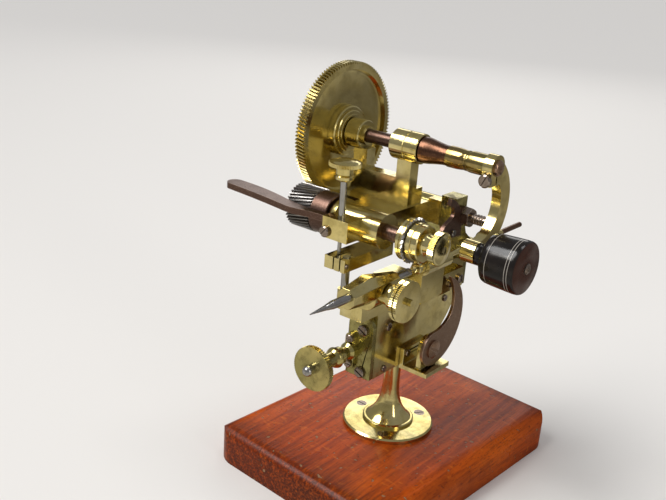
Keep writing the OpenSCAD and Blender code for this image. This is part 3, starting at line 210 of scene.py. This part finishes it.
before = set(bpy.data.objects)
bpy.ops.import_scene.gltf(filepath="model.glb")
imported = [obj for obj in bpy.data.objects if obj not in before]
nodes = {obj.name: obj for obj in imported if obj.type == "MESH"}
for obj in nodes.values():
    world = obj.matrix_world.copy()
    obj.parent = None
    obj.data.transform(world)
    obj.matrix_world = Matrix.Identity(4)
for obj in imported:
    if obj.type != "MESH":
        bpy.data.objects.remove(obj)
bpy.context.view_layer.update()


def middle(node):
    """Centre of a CAD node's box."""
    low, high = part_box(node)
    return (low + high) / 2


ARBOR = middle("crank_arbor")
SPINDLE = middle("cutter_spindle")
RUNNER = middle("front_runner")
LEAD = middle("lead_screw")
THUMB = middle("thumb_screw")
STOP = middle("stop_rod")
GRIP = middle("crank_handle")
COLUMN = middle("column")


# Materials

class Graph:
    """Short ways to build one material's nodes."""

    def __init__(self, name):
        self.material = bpy.data.materials.new(name)
        self.material.use_nodes = True
        self.tree = self.material.node_tree
        self.tree.nodes.clear()
        output = self.tree.nodes.new("ShaderNodeOutputMaterial")
        self.shader = self.tree.nodes.new("ShaderNodeBsdfPrincipled")
        self.tree.links.new(self.shader.outputs[0], output.inputs[0])

    def put(self, socket, value):
        """Links a socket to the value, or sets it."""
        if isinstance(value, bpy.types.NodeSocket):
            self.tree.links.new(value, socket)
        elif socket.type == "RGBA":
            socket.default_value = (*value, 1.0)
        else:
            socket.default_value = value

    def add(self, kind, inputs=None, **settings):
        """A new node with its inputs and settings."""
        node = self.tree.nodes.new("ShaderNode" + kind)
        for key, value in settings.items():
            setattr(node, key, value)
        for key, value in (inputs or {}).items():
            self.put(node.inputs[key], value)
        return node

    def surface(self, **values):
        """Fills the shader's sockets; an underscore stands for a space in a socket's name."""
        for key, value in values.items():
            self.put(self.shader.inputs[key.replace("_", " ")], value)

    def math(self, operation, a, b=0.0, clamp=False):
        node = self.add("Math", {0: a, 1: b}, operation=operation, use_clamp=clamp)
        return node.outputs[0]

    def place(self):
        """The point in the piece's own frame."""
        return self.add("TexCoord").outputs["Object"]

    def stretched(self, scale, turn=(0.0, 0.0, 0.0)):
        """The point, turned and scaled."""
        node = self.add("Mapping", {"Vector": self.place(), "Scale": scale, "Rotation": turn})
        return node.outputs[0]

    def noise(self, vector, scale, detail=3.0, roughness=0.5, distortion=0.0):
        node = self.add("TexNoise", {"Vector": vector, "Scale": scale, "Detail": detail,
                                     "Roughness": roughness, "Distortion": distortion})
        return node.outputs["Fac"]

    def spread(self, value, low, high, to_low=0.0, to_high=1.0):
        """Spreads low to high over to_low to to_high, and stops at both ends."""
        node = self.add("MapRange", {"Value": value, "From Min": low, "From Max": high,
                                     "To Min": to_low, "To Max": to_high})
        return node.outputs[0]

    def mix(self, share, a, b):
        """Colour a where the share is 0, and b where it is 1."""
        node = self.add("Mix", data_type="RGBA")
        self.put(node.inputs[MIX_SHARE], share)
        self.put(node.inputs[MIX_A], a)
        self.put(node.inputs[MIX_B], b)
        return node.outputs[MIX_COLOUR]

    def bump(self, height, distance, strength=1.0, under=None):
        """The normal of a relief, on top of the relief under it."""
        inputs = {"Height": height, "Distance": distance, "Strength": strength}
        if under is not None:
            inputs["Normal"] = under
        return self.add("Bump", inputs).outputs[0]

    def crevice(self, distance):
        """0 in the open and 1 deep in a corner."""
        node = self.add("AmbientOcclusion", {"Distance": distance}, samples=6)
        return self.math("SUBTRACT", 1.0, node.outputs["AO"])

    def along_and_radius(self, axis, centre):
        """Distance along a lathe's axis, and distance from it."""
        parts = self.add("SeparateXYZ", {0: self.place()})
        along = parts.outputs["XYZ".index(axis)]
        across = [i for i in range(3) if "XYZ"[i] != axis]
        squares = []
        for i in across:
            offset = self.math("SUBTRACT", parts.outputs[i], centre[i])
            squares.append(self.math("MULTIPLY", offset, offset))
        return along, self.math("SQRT", self.math("ADD", *squares))

    def lathe_lines(self, axis, centre, spacing):
        """Fine lines round a turned piece, on its side and on its ends."""
        along, radius = self.along_and_radius(axis, centre)
        place = self.math("MULTIPLY", self.math("ADD", along, radius), 1.0 / spacing)
        node = self.add("TexNoise", {"W": place, "Scale": 1.0, "Detail": 2.0},
                        noise_dimensions="1D")
        return node.outputs["Fac"]

    def brush_lines(self, axis, spacing):
        """Fine straight lines along one axis of a filed and polished face."""
        scale = [1.0 / spacing] * 3
        scale["XYZ".index(axis)] /= BRUSH_STRETCH
        return self.noise(self.stretched(scale), 1.0, detail=2.0)


def tool_marks(graph, turned, brushed):
    """Lathe lines where turned gives an axis and its centre, or else lines along brushed."""
    if turned:
        axis, centre = turned
        return graph.lathe_lines(axis, centre, LATHE_MARKS_MM * MM)
    return graph.brush_lines(brushed, BRUSH_MARKS_MM * MM)


def brass(name, turned=None, brushed="Y", tone=BRASS, pale=BRASS_PALE, tarnish=0.5, shine=0.1,
          browned_past_y=None):
    """Aged polished brass with a soft patina, painted shade in corners, fine spots and faint tool
    marks.

    A lower shine value is a sharper mirror. Past browned_past_y it is stained red-brown.
    """
    g = Graph(name)
    place = g.place()
    clouds = g.noise(place, 45.0, detail=4.0, roughness=0.55, distortion=0.6)
    patches = g.noise(place, 150.0, detail=5.0, roughness=0.62)
    spots = g.noise(place, 1100.0, detail=3.0, roughness=0.6)
    marks = tool_marks(g, turned, brushed)
    colour = g.mix(g.spread(clouds, 0.38, 0.66), tone, pale)
    patina = g.math("MULTIPLY", g.spread(patches, 0.46, 0.68), tarnish)
    speck = g.math("MULTIPLY", g.spread(spots, 0.66, 0.74), tarnish)
    # Painted shade: ambient occlusion darkens the brass in corners, creases and between parts
    crevice_shade = g.math("POWER", g.spread(g.crevice(3.0 * MM), 0.2, 0.9), 1.3)
    # The dark mix is real patina and spots together with the painted shade in corners
    dirt_and_shade = g.math("MULTIPLY", patina, 0.6)
    dirt_and_shade = g.math("ADD", dirt_and_shade, g.math("MULTIPLY", crevice_shade, 0.85), clamp=True)
    dirt_and_shade = g.math("ADD", dirt_and_shade, g.math("MULTIPLY", speck, 0.5), clamp=True)
    colour = g.mix(dirt_and_shade, colour, BRASS_DARK)
    if browned_past_y is not None:
        depth = g.add("SeparateXYZ", {0: place}).outputs[1]
        browned = g.spread(depth, browned_past_y - 0.5 * MM, browned_past_y + 0.5 * MM)
        colour = g.mix(g.math("MULTIPLY", browned, 0.92), colour, BRASS_STAIN)
    rough = g.math("ADD", shine, g.math("MULTIPLY", dirt_and_shade, 0.22))
    rough = g.math("ADD", rough, g.spread(patches, 0.3, 0.7, 0.0, 0.06))
    rough = g.math("ADD", rough, g.spread(marks, 0.3, 0.7, -0.02, 0.03))
    normal = g.bump(marks, 0.0025 * MM)
    normal = g.bump(patches, 0.005 * MM, 0.5, normal)
    g.surface(Base_Color=colour, Metallic=1.0, Roughness=rough, Normal=normal)
    return g.material


def steel(name, turned=None, brushed="Y", tone=STEEL, worn=STEEL, shine=0.2, stain=0.5):
    """Steel with lathe or file marks, rust stains and painted shade in corners, worn to another
    tone along its edges, which also paints a highlight on them.
    """
    g = Graph(name)
    place = g.place()
    clouds = g.noise(place, 160.0, detail=6.0, roughness=0.65)
    pits = g.noise(place, 1500.0, detail=3.0, roughness=0.7)
    marks = tool_marks(g, turned, brushed)
    # Worn edges and a painted highlight: edges that the Bevel normal finds get the paler tone
    soft = g.add("Bevel", {"Radius": 0.35 * MM}, samples=4).outputs[0]
    sharp = g.add("NewGeometry").outputs["Normal"]
    edge = g.add("VectorMath", {0: soft, 1: sharp}, operation="DOT_PRODUCT").outputs["Value"]
    wear_and_highlight = g.spread(edge, 0.995, 0.90)
    wear_and_highlight = g.math("ADD", wear_and_highlight, g.spread(pits, 0.53, 0.67, 0.0, 0.55), clamp=True)
    colour = g.mix(wear_and_highlight, tone, worn)
    rust = g.math("MULTIPLY", g.spread(clouds, 0.5, 0.3), g.spread(pits, 0.4, 0.7))
    rust = g.math("MULTIPLY", rust, stain, clamp=True)
    # Painted shade: ambient occlusion darkens corners and gaps between parts, in the rust colour
    crevice_shade = g.spread(g.crevice(2.5 * MM), 0.3, 1.0)
    dirt_and_shade = g.math("ADD", rust, g.math("MULTIPLY", crevice_shade, 0.6), clamp=True)
    colour = g.mix(dirt_and_shade, colour, RUST_AND_SHADE)
    rough = g.math("ADD", shine, g.math("MULTIPLY", dirt_and_shade, 0.3))
    rough = g.math("ADD", rough, g.spread(marks, 0.3, 0.7, -0.03, 0.06))
    normal = g.bump(marks, 0.006 * MM)
    normal = g.bump(pits, 0.010 * MM, 0.6, normal)
    g.surface(Base_Color=colour, Metallic=1.0, Roughness=rough, Normal=normal)
    return g.material


def brown_steel(name, **choices):
    """Steel that is browned, and worn pale along its edges, which also paints a highlight on
    them.
    """
    return steel(name, tone=BROWN_STEEL, worn=BROWN_WORN_HIGHLIT, shine=0.3, **choices)


def end_grain(g):
    """1 at the wood's front and back ends, and 0 some way in from them."""
    low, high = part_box("wood_base")
    across = g.add("SeparateXYZ", {0: g.place()}).outputs[1]
    front = g.spread(across, low.y + DARK_FRONT_MM * MM, low.y)
    back = g.spread(across, high.y - DARK_BACK_MM * MM, high.y)
    return g.math("ADD", front, back)


def varnished_wood():
    """Red-brown varnished hardwood, its grain along Y, with pores, dents and dark end grain."""
    g = Graph("varnished_wood")
    turn = (0.0, 0.0, GRAIN_TURN)
    rings = g.add("TexWave", {"Vector": g.stretched((1.0, 0.07, 1.0), turn), "Scale": 75.0,
                              "Distortion": 8.0, "Detail": 3.0, "Detail Scale": 1.4,
                              "Detail Roughness": 0.6},
                  wave_type="BANDS", bands_direction="DIAGONAL").outputs["Fac"]
    wobble = g.noise(g.stretched((1.0, 0.25, 1.0), turn), 30.0, detail=4.0)
    streaks = g.noise(g.stretched((1.0, 0.06, 1.0), turn), 800.0, detail=4.0, roughness=0.65)
    pores = g.noise(g.stretched((1.0, 0.16, 1.0), turn), 2300.0, detail=2.0)
    rays = g.noise(g.stretched((0.45, 1.0, 1.0), turn), 420.0, detail=2.0)
    blotches = g.noise(g.place(), 26.0, detail=5.0, roughness=0.6)
    dents = g.noise(g.place(), 420.0, detail=0.0)
    layers = (
        (g.spread(wobble, 0.42, 0.75), WOOD_GOLD),
        (g.spread(streaks, 0.48, 0.70, 0.0, 0.7), WOOD_STREAK),
        (g.spread(pores, 0.58, 0.72, 0.0, 0.7), WOOD_PORE),
        (g.spread(rays, 0.60, 0.72, 0.0, 0.4), WOOD_RAY),
        (g.spread(blotches, 0.52, 0.8, 0.0, 0.6), WOOD_BLOTCH),
        (g.math("MULTIPLY", end_grain(g), g.spread(streaks, 0.22, 0.56)), WOOD_END),
        (g.spread(dents, 0.765, 0.785, 0.0, 0.7), WOOD_DENT),
        (g.spread(dents, 0.80, 0.815, 0.0, 0.7), WOOD_BARE),
        # Painted shade: ambient occlusion darkens the wood round and under the parts on it
        (g.spread(g.crevice(8 * MM), 0.3, 0.9, 0.0, 0.8), WOOD_CREVICE_SHADE),
    )
    colour = g.mix(rings, WOOD_RED, WOOD_DEEP)
    for share, tint in layers:
        colour = g.mix(share, colour, tint)
    rough = g.spread(blotches, 0.3, 0.8, 0.24, 0.42)
    height = g.math("SUBTRACT", streaks, g.spread(pores, 0.58, 0.72))
    normal = g.bump(height, 0.04 * MM, 0.6)
    normal = g.bump(g.spread(dents, 0.76, 0.82, 1.0, 0.0), 0.2 * MM, 0.7, normal)
    g.surface(Base_Color=colour, Roughness=rough, Normal=normal, Coat_Weight=0.06,
              Coat_Roughness=0.15, Specular_IOR_Level=0.12)
    return g.material


def ebonite():
    """Black turned hard rubber with scribed rings that hold pale dust, and a browned end."""
    g = Graph("ebonite")
    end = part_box("crank_handle")[1].x
    along = g.along_and_radius("X", GRIP)[0]
    marks = g.lathe_lines("X", GRIP, GRIP_MARKS_MM * MM)
    clouds = g.noise(g.place(), 120.0, detail=4.0, roughness=0.6)
    dust = g.math("MULTIPLY", g.spread(g.crevice(1.2 * MM), 0.25, 0.8), 0.35)
    for place in HANDLE_RINGS_MM:
        away = g.math("ABSOLUTE", g.math("SUBTRACT", along, end - place * MM))
        dust = g.math("ADD", dust, g.spread(away, 0.10 * MM, 0.22 * MM, 0.8, 0.0), clamp=True)
    browned = g.spread(along, end - 0.5 * MM, end - 0.1 * MM)
    colour = g.mix(g.spread(clouds, 0.5, 0.8, 0.0, 0.5), EBONITE, EBONITE_FADED)
    colour = g.mix(g.math("MULTIPLY", browned, 0.8), colour, EBONITE_BROWNED)
    colour = g.mix(dust, colour, DUST)
    rough = g.spread(clouds, 0.3, 0.75, 0.10, 0.24)
    normal = g.bump(marks, 0.004 * MM)
    g.surface(Base_Color=colour, Roughness=rough, Normal=normal, Specular_IOR_Level=0.3)
    return g.material


def floor_material():
    """Plain pale studio floor, which polished metal mirrors as a painted reflection, darker and
    uneven.
    """
    g = Graph("studio_floor")
    # Painted reflection: glossy rays see a darker, patchy floor that is lighter towards the front
    mirrored = g.add("LightPath").outputs["Is Glossy Ray"]
    reflection_patches = g.noise(g.place(), 5.0, detail=2.0)
    depth = g.add("SeparateXYZ", {0: g.place()}).outputs[1]
    front = g.spread(depth, 0.30, -0.40, 0.0, 0.65)
    light = g.math("ADD", front, g.spread(reflection_patches, 0.42, 0.60, 0.0, 0.45), clamp=True)
    # The painted reflection's colour
    shade = g.mix(light, PAINTED_REFLECTION_DARK, PAINTED_REFLECTION_LIGHT)
    g.surface(Base_Color=g.mix(mirrored, FLOOR, shade), Roughness=0.85)
    return g.material


BRASS_ARBOR = brass("brass_arbor", ("X", ARBOR))
BRASS_SPINDLE = brass("brass_spindle", ("X", SPINDLE))
BRASS_CRANK = brass("brass_crank", brushed="Z")
BRASS_RUNNER = brass("brass_runner", ("Y", RUNNER), shine=0.12,
                     browned_past_y=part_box("back_runner")[1].y - RUNNER_STAIN_MM * MM)
BRASS_LEAD = brass("brass_lead", ("Y", LEAD), tone=BRASS_GREEN, pale=BRASS, tarnish=1.2,
                   shine=0.14)
BRASS_THUMB = brass("brass_thumb", ("X", THUMB))
BRASS_STOP = brass("brass_stop", ("Z", STOP))
BRASS_COLUMN = brass("brass_column", ("Z", COLUMN), tarnish=0.45)
BRASS_PLATE = brass("brass_plate", brushed="Y", tarnish=0.55)
BRASS_BLOCK = brass("brass_block", brushed="X", tarnish=0.6)
BRASS_OLD = brass("brass_old", brushed="Z", tone=BRASS_OLIVE, pale=BRASS_GREEN, tarnish=1.6,
                  shine=0.18)
BRONZE_ARBOR = brass("bronze_arbor", ("X", ARBOR), tone=BRONZE, pale=BRASS_GREEN, tarnish=0.8)
STEEL_RUNNER = steel("steel_runner", ("Y", RUNNER), shine=0.14)
STEEL_LEAD = steel("steel_lead", ("Y", LEAD))
STEEL_STOP = steel("steel_stop", ("Z", STOP), shine=0.14)
STEEL_SPINDLE = steel("steel_spindle", ("X", SPINDLE), tone=STEEL_DULL)
COPPER_ARBOR = steel("copper_arbor", ("X", ARBOR), tone=COPPER, worn=COPPER_WORN_HIGHLIT, shine=0.26,
                     stain=0.9)
BROWN_ARBOR = brown_steel("brown_arbor", turned=("X", ARBOR))
BROWN_SPINDLE = brown_steel("brown_spindle", turned=("X", SPINDLE))
BROWN_FLAT = brown_steel("brown_flat", brushed="Y")
BROWN_SPRING = steel("brown_spring", tone=SPRING_BROWN, worn=SPRING_WORN_HIGHLIT, shine=0.3, stain=0.3)
BROWN_SCREW = steel("brown_screw", brushed="Z", tone=SCREW_STEEL, worn=SCREW_EDGE)
COPPER_SCREW = steel("copper_screw", ("X", ARBOR), tone=COPPER_BRIGHT, worn=COPPER_EDGE)
WOOD = varnished_wood()
EBONITE_BLACK = ebonite()

# The other parts, which are screws, nuts and the handle's pin, are in BROWN_SCREW
MATERIAL_OF = {
    "wood_base": WOOD,
    "crank_handle": EBONITE_BLACK,
    "base_flange": BRASS_COLUMN,
    "column": BRASS_COLUMN,
    "bed": BRASS_PLATE,
    "end_plate": BRASS_OLD,
    "lead_bearing": BRASS_LEAD,
    "lead_knob": BRASS_LEAD,
    "standard": BRASS_OLD,
    "back_poppet": BRASS_PLATE,
    "spring_bracket": BRASS_BLOCK,
    "carriage": BRASS_PLATE,
    "front_poppet": BRASS_PLATE,
    "stop_bar": BRASS_PLATE,
    "thumb_screw": BRASS_THUMB,
    "back_runner": BRASS_RUNNER,
    "head_block": BRASS_BLOCK,
    "bearing_frame": BRASS_BLOCK,
    "spindle_housing": BRASS_BLOCK,
    "stop_knob": BRASS_STOP,
    "drive_gear": BRASS_ARBOR,
    "gear_hub": BRASS_ARBOR,
    "gear_nut": BRASS_ARBOR,
    "crank_arm": BRASS_CRANK,
    "cutter_flange": BRASS_SPINDLE,
    "cutter_nut": BRASS_SPINDLE,
    "end_knob": BRASS_SPINDLE,
    "arbor_collar": BRONZE_ARBOR,
    "arbor_barrel": COPPER_ARBOR,
    "crank_arbor": BROWN_ARBOR,
    "crank_cap_screw": COPPER_SCREW,
    "spring_screw": COPPER_SCREW,
    "cutter_spindle": BROWN_SPINDLE,
    "spindle_drum": BROWN_SPINDLE,
    "lift_lever": BROWN_FLAT,
    "half_moon_spring": BROWN_SPRING,
    "guide_finger": BROWN_FLAT,
    "pinion": STEEL_SPINDLE,
    "cutter": STEEL_SPINDLE,
    "set_screw": STEEL_SPINDLE,
    "finger_screw": STEEL_SPINDLE,
    "front_runner": STEEL_RUNNER,
    "lead_screw": STEEL_LEAD,
    "stop_rod": STEEL_STOP,
    "stop_pin": STEEL_STOP,
}


# The CAD parts

def round_corners(part, width_mm):
    """Rounds a part's sharp edges, if it has a width for them, and shades the rest smooth."""
    if width_mm:
        rounding = part.modifiers.new("worn_edges", "BEVEL")
        rounding.width = width_mm * MM
        rounding.segments = WORN_STEPS
        rounding.limit_method = "ANGLE"
        rounding.angle_limit = WORN_ANGLE
        rounding.use_clamp_overlap = True
    for polygon in part.data.polygons:
        polygon.use_smooth = True
    smooth = part.modifiers.new("smooth", "EDGE_SPLIT")
    smooth.split_angle = SMOOTH_ANGLE
    if width_mm:
        flat = part.modifiers.new("flat_faces", "WEIGHTED_NORMAL")
        flat.mode = "FACE_AREA_WITH_ANGLE"
        flat.keep_sharp = True


def dress(name, part):
    """Gives a CAD part its material, and rounds its corners where they would be worn."""
    part.data.materials.clear()
    part.data.materials.append(MATERIAL_OF.get(name, BROWN_SCREW))
    weld = part.modifiers.new("weld", "WELD")
    weld.merge_threshold = WELD_MM * MM
    round_corners(part, EDGE_MM.get(name))


# Curves and skins for the pieces that are made here

def arc(circle, start, end, steps):
    """Points (y, z) on a circle of (y, z, radius), from one angle to another in degrees."""
    y, z, radius = circle
    angles = [math.radians(start + (end - start) * i / steps) for i in range(steps + 1)]
    return [(y + radius * math.cos(a), z + radius * math.sin(a)) for a in angles]


def ring(circle, sides):
    """Points (y, z) all round a circle of (y, z, radius)."""
    return arc(circle, 0.0, 360.0, sides)[:-1]


def octagon(centre, flats):
    """An eight-sided rim across Y round a centre, with its flats square to X and Z."""
    radius = flats / 2 / math.cos(math.pi / 8)
    angles = [math.pi / 8 + k * math.pi / 4 for k in range(8)]
    return [centre + Vector((math.cos(a), 0.0, math.sin(a))) * radius for a in angles]


def bezier(points, share):
    """The point at a share of the way along a Bezier curve."""
    left = [Vector(point) for point in points]
    while len(left) > 1:
        left = [a.lerp(b, share) for a, b in zip(left, left[1:])]
    return left[0]


def curve(points, steps):
    """Points along a Bezier curve, both its ends among them."""
    return [tuple(bezier(points, i / steps)) for i in range(steps + 1)]


def add_walls(bm, rings):
    """Faces between rings of the same number of vertices."""
    for one, two in zip(rings, rings[1:]):
        for i in range(len(one)):
            j = (i + 1) % len(one)
            bm.faces.new((one[i], one[j], two[j], two[i]))


def add_loft(bm, rims):
    """A closed skin over rims of the same number of points."""
    rings = [[bm.verts.new(point) for point in rim] for rim in rims]
    bm.faces.new(rings[0])
    bm.faces.new(rings[-1])
    add_walls(bm, rings)


def add_slab_y(bm, corner, outline, ends):
    """A slab across Y between two ends; ends and outline's (x, z) are in mm from a corner."""
    add_loft(bm, [[corner + Vector((x, y, z)) * MM for x, z in outline] for y in ends])


def add_prism(bm, outline, low, high, chamfer):
    """A prism along X with a chamfered outer end; outline is a list of (y, z)."""
    size = max(math.hypot(y, z) for y, z in outline)
    sections = ((low, 1.0), (high - chamfer, 1.0), (high, 1.0 - chamfer / size))
    add_loft(bm, [[(x, y * shrink, z * shrink) for y, z in outline] for x, shrink in sections])


def add_piece(name, bm, material, body):
    """A new piece that moves with a body."""
    mesh = bpy.data.meshes.new(name)
    bmesh.ops.recalc_face_normals(bm, faces=bm.faces)
    bm.to_mesh(mesh)
    bm.free()
    mesh.materials.append(material)
    piece = bpy.data.objects.new(name, mesh)
    bpy.context.scene.collection.objects.link(piece)
    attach(piece, body)
    return piece


# The pieces

def add_front_poppet():
    """Eight-sided bar, tapered to both ends, on a foot whose outer side sweeps up to it."""
    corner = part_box("front_poppet")[0]
    axis = Vector((RUNNER.x, corner.y, RUNNER.z))
    bm = bmesh.new()
    add_loft(bm, [octagon(axis + Vector((x, y, z)) * MM, flats * MM)
                  for y, x, z, flats in POPPET_SECTIONS_MM])
    foot = curve(FOOT_SWEEP_MM, FOOT_SWEEP_STEPS) + list(FOOT_TOP_MM)
    add_slab_y(bm, corner, foot, FOOT_Y_MM)
    add_slab_y(bm, corner, HEEL_MM, HEEL_Y_MM)
    boss = []
    for x, radius in BOSS_MM:
        circle = ring((THUMB.y, THUMB.z, radius * MM), BOSS_SIDES)
        boss.append([(RUNNER.x + x * MM, y, z) for y, z in circle])
    add_loft(bm, boss)
    piece = add_piece("poppet_front", bm, BRASS_PLATE, "slide")
    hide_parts("front_poppet")
    round_corners(piece, POPPET_EDGE_MM)


def add_spring():
    """The half-moon spring as a crescent that tapers from its round foot to a sharp tip."""
    low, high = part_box("half_moon_spring")
    foot = middle("spring_screw")
    radius = SPRING_RADIUS_MM * MM
    circle = (high.y - radius, low.z + radius, radius)
    outline = arc(circle, *SPRING_ANGLES, SPRING_STEPS)
    circle = (foot.y, foot.z, SPRING_FOOT_RADIUS_MM * MM)
    outline += arc(circle, *SPRING_FOOT_ANGLES, SPRING_FOOT_STEPS)
    inner = curve(SPRING_INNER_MM, SPRING_INNER_STEPS)[1:-1]
    outline += [(foot.y + y * MM, foot.z + z * MM) for y, z in inner]
    bm = bmesh.new()
    add_loft(bm, [[(x, y, z) for y, z in outline] for x in (low.x, high.x)])
    piece = add_piece("spring_crescent", bm, BROWN_SPRING, "root")
    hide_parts("half_moon_spring")
    round_corners(piece, SPRING_EDGE_MM)


def add_screw_head(name, place, turn):
    """A small slotted screw head that stands on a face and looks along +X."""
    bm = bmesh.new()
    circle = (0.0, 0.0, SCREW_RADIUS_MM * MM)
    slot = math.degrees(math.asin(SLOT_HALF_WIDTH_MM / SCREW_RADIUS_MM))
    add_prism(bm, ring(circle, SCREW_SIDES), SCREW_BOTTOM_MM * MM, SLOT_FLOOR_MM * MM, 0.0)
    for start in (0.0, 180.0):
        side = arc(circle, start + slot, start + 180.0 - slot, SCREW_SIDES // 2)
        add_prism(bm, side, SLOT_SIDES_FROM_MM * MM, SCREW_TOP_MM * MM, SCREW_CHAMFER_MM * MM)
    bm.transform(Matrix.Translation(place) @ Matrix.Rotation(math.radians(turn), 4, "X"))
    add_piece(name, bm, BROWN_SCREW, "root")


def add_plate_screws():
    """Two more small screws in the plate's face, like the one from the CAD."""
    first = middle("rail_screw")
    first.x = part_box("rail_screw")[1].x - RAIL_SCREW_TOP_MM * MM
    add_screw_head("plate_screw_back", first + Vector((0.0, *BACK_SCREW_MM)) * MM, turn=20)
    add_screw_head("plate_screw_low", first + Vector((0.0, *LOW_SCREW_MM)) * MM, turn=-35)


def add_pivot_thread():
    """Worn thread ridges round the outer end of the right pivot screw."""
    low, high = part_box("pivot_screws")
    centre = middle("pivot_screws")
    radius = (high.z - low.z) / 2 - THREAD_SUNK_MM * MM
    start = high.x - THREAD_START_MM * MM
    last = THREAD_STEPS * THREAD_TURNS
    bm = bmesh.new()
    rings = []
    for i in range(last + 1):
        angle = 2 * math.pi * i / THREAD_STEPS
        along = start + THREAD_PITCH_MM * MM * i / THREAD_STEPS
        fade = min(1.0, i / THREAD_FADE_STEPS, (last - i) / THREAD_FADE_STEPS)
        rim = []
        for k in range(THREAD_SIDES):
            turn = 2 * math.pi * k / THREAD_SIDES
            x = along + THREAD_HALF_WIDTH_MM * MM * fade * math.sin(turn)
            away = radius + THREAD_RIDGE_MM * MM * fade * math.cos(turn)
            rim.append(bm.verts.new((x + THREAD_APART_MM * MM * k,
                                     centre.y + away * math.cos(angle),
                                     centre.z + away * math.sin(angle))))
        rings.append(rim)
    add_walls(bm, rings)
    for face in bm.faces:
        face.smooth = True
    add_piece("pivot_thread", bm, BROWN_SCREW, "root")


# Camera, floor, world and lamps

def add_camera():
    """The photograph's camera; its z points from what it sees to itself."""
    z = Vector((math.sin(CAMERA_AZIMUTH) * math.cos(CAMERA_ELEVATION),
                -math.cos(CAMERA_AZIMUTH) * math.cos(CAMERA_ELEVATION),
                math.sin(CAMERA_ELEVATION)))
    x = Vector((0, 0, 1)).cross(z).normalized()
    y = z.cross(x)
    right = x * math.cos(CAMERA_ROLL) + y * math.sin(CAMERA_ROLL)
    up = -x * math.sin(CAMERA_ROLL) + y * math.cos(CAMERA_ROLL)
    data = bpy.data.cameras.new("photo_camera")
    data.sensor_width = SENSOR_MM
    data.lens = FOCAL_PX / PHOTO_WIDTH_PX * SENSOR_MM
    data.clip_start = NEAREST_SEEN
    camera = bpy.data.objects.new("photo_camera", data)
    bpy.context.scene.collection.objects.link(camera)
    turn = Matrix((right, up, z)).transposed().to_4x4()
    camera.matrix_world = Matrix.Translation(CAMERA_PLACE) @ turn
    bpy.context.scene.camera = camera


def add_floor():
    """A round floor, which isn't part of the object."""
    bm = bmesh.new()
    bmesh.ops.create_circle(bm, cap_ends=True, segments=FLOOR_SIDES, radius=FLOOR_RADIUS)
    mesh = bpy.data.meshes.new("studio_floor")
    bm.to_mesh(mesh)
    bm.free()
    mesh.materials.append(floor_material())
    floor = bpy.data.objects.new("studio_floor", mesh)
    bpy.context.scene.collection.objects.link(floor)


def add_world():
    """A grey glow, which the camera sees as a pale backdrop."""
    world = bpy.data.worlds.new("studio_world")
    world.use_nodes = True
    tree = world.node_tree
    seen = tree.nodes.new("ShaderNodeLightPath").outputs["Is Camera Ray"]
    backdrop = tree.nodes.new("ShaderNodeMix")
    backdrop.data_type = "RGBA"
    backdrop.inputs[MIX_A].default_value = (*WORLD_GLOW, 1.0)
    backdrop.inputs[MIX_B].default_value = (*BACKDROP, 1.0)
    tree.links.new(seen, backdrop.inputs[MIX_SHARE])
    tree.links.new(backdrop.outputs[MIX_COLOUR], tree.nodes["Background"].inputs["Color"])
    bpy.context.scene.world = world


def add_sun():
    """A soft sun that lights the whole floor alike."""
    data = bpy.data.lights.new("soft_sun", "SUN")
    data.energy = SUN_STRENGTH
    data.angle = SUN_ANGLE
    sun = bpy.data.objects.new("soft_sun", data)
    bpy.context.scene.collection.objects.link(sun)
    sun.rotation_euler = SUN_TOWARD.to_track_quat("Z", "Y").to_euler()


def add_lamp(name, place, size, power, colour):
    """A rectangular lamp that looks at the middle of the object."""
    data = bpy.data.lights.new(name, "AREA")
    data.shape = "RECTANGLE"
    data.size, data.size_y = size
    data.energy = power
    data.color = colour
    lamp = bpy.data.objects.new(name, data)
    bpy.context.scene.collection.objects.link(lamp)
    direction = LAMP_TARGET - Vector(place)
    lamp.rotation_euler = direction.to_track_quat("-Z", "Y").to_euler()
    lamp.location = place


# The scene

for name, part in nodes.items():
    dress(name, part)
add_front_poppet()
add_spring()
add_plate_screws()
add_pivot_thread()
add_camera()
add_floor()
add_world()
bpy.context.scene.view_settings.view_transform = "Standard"
add_sun()
for lamp in LAMPS:
    add_lamp(*lamp)
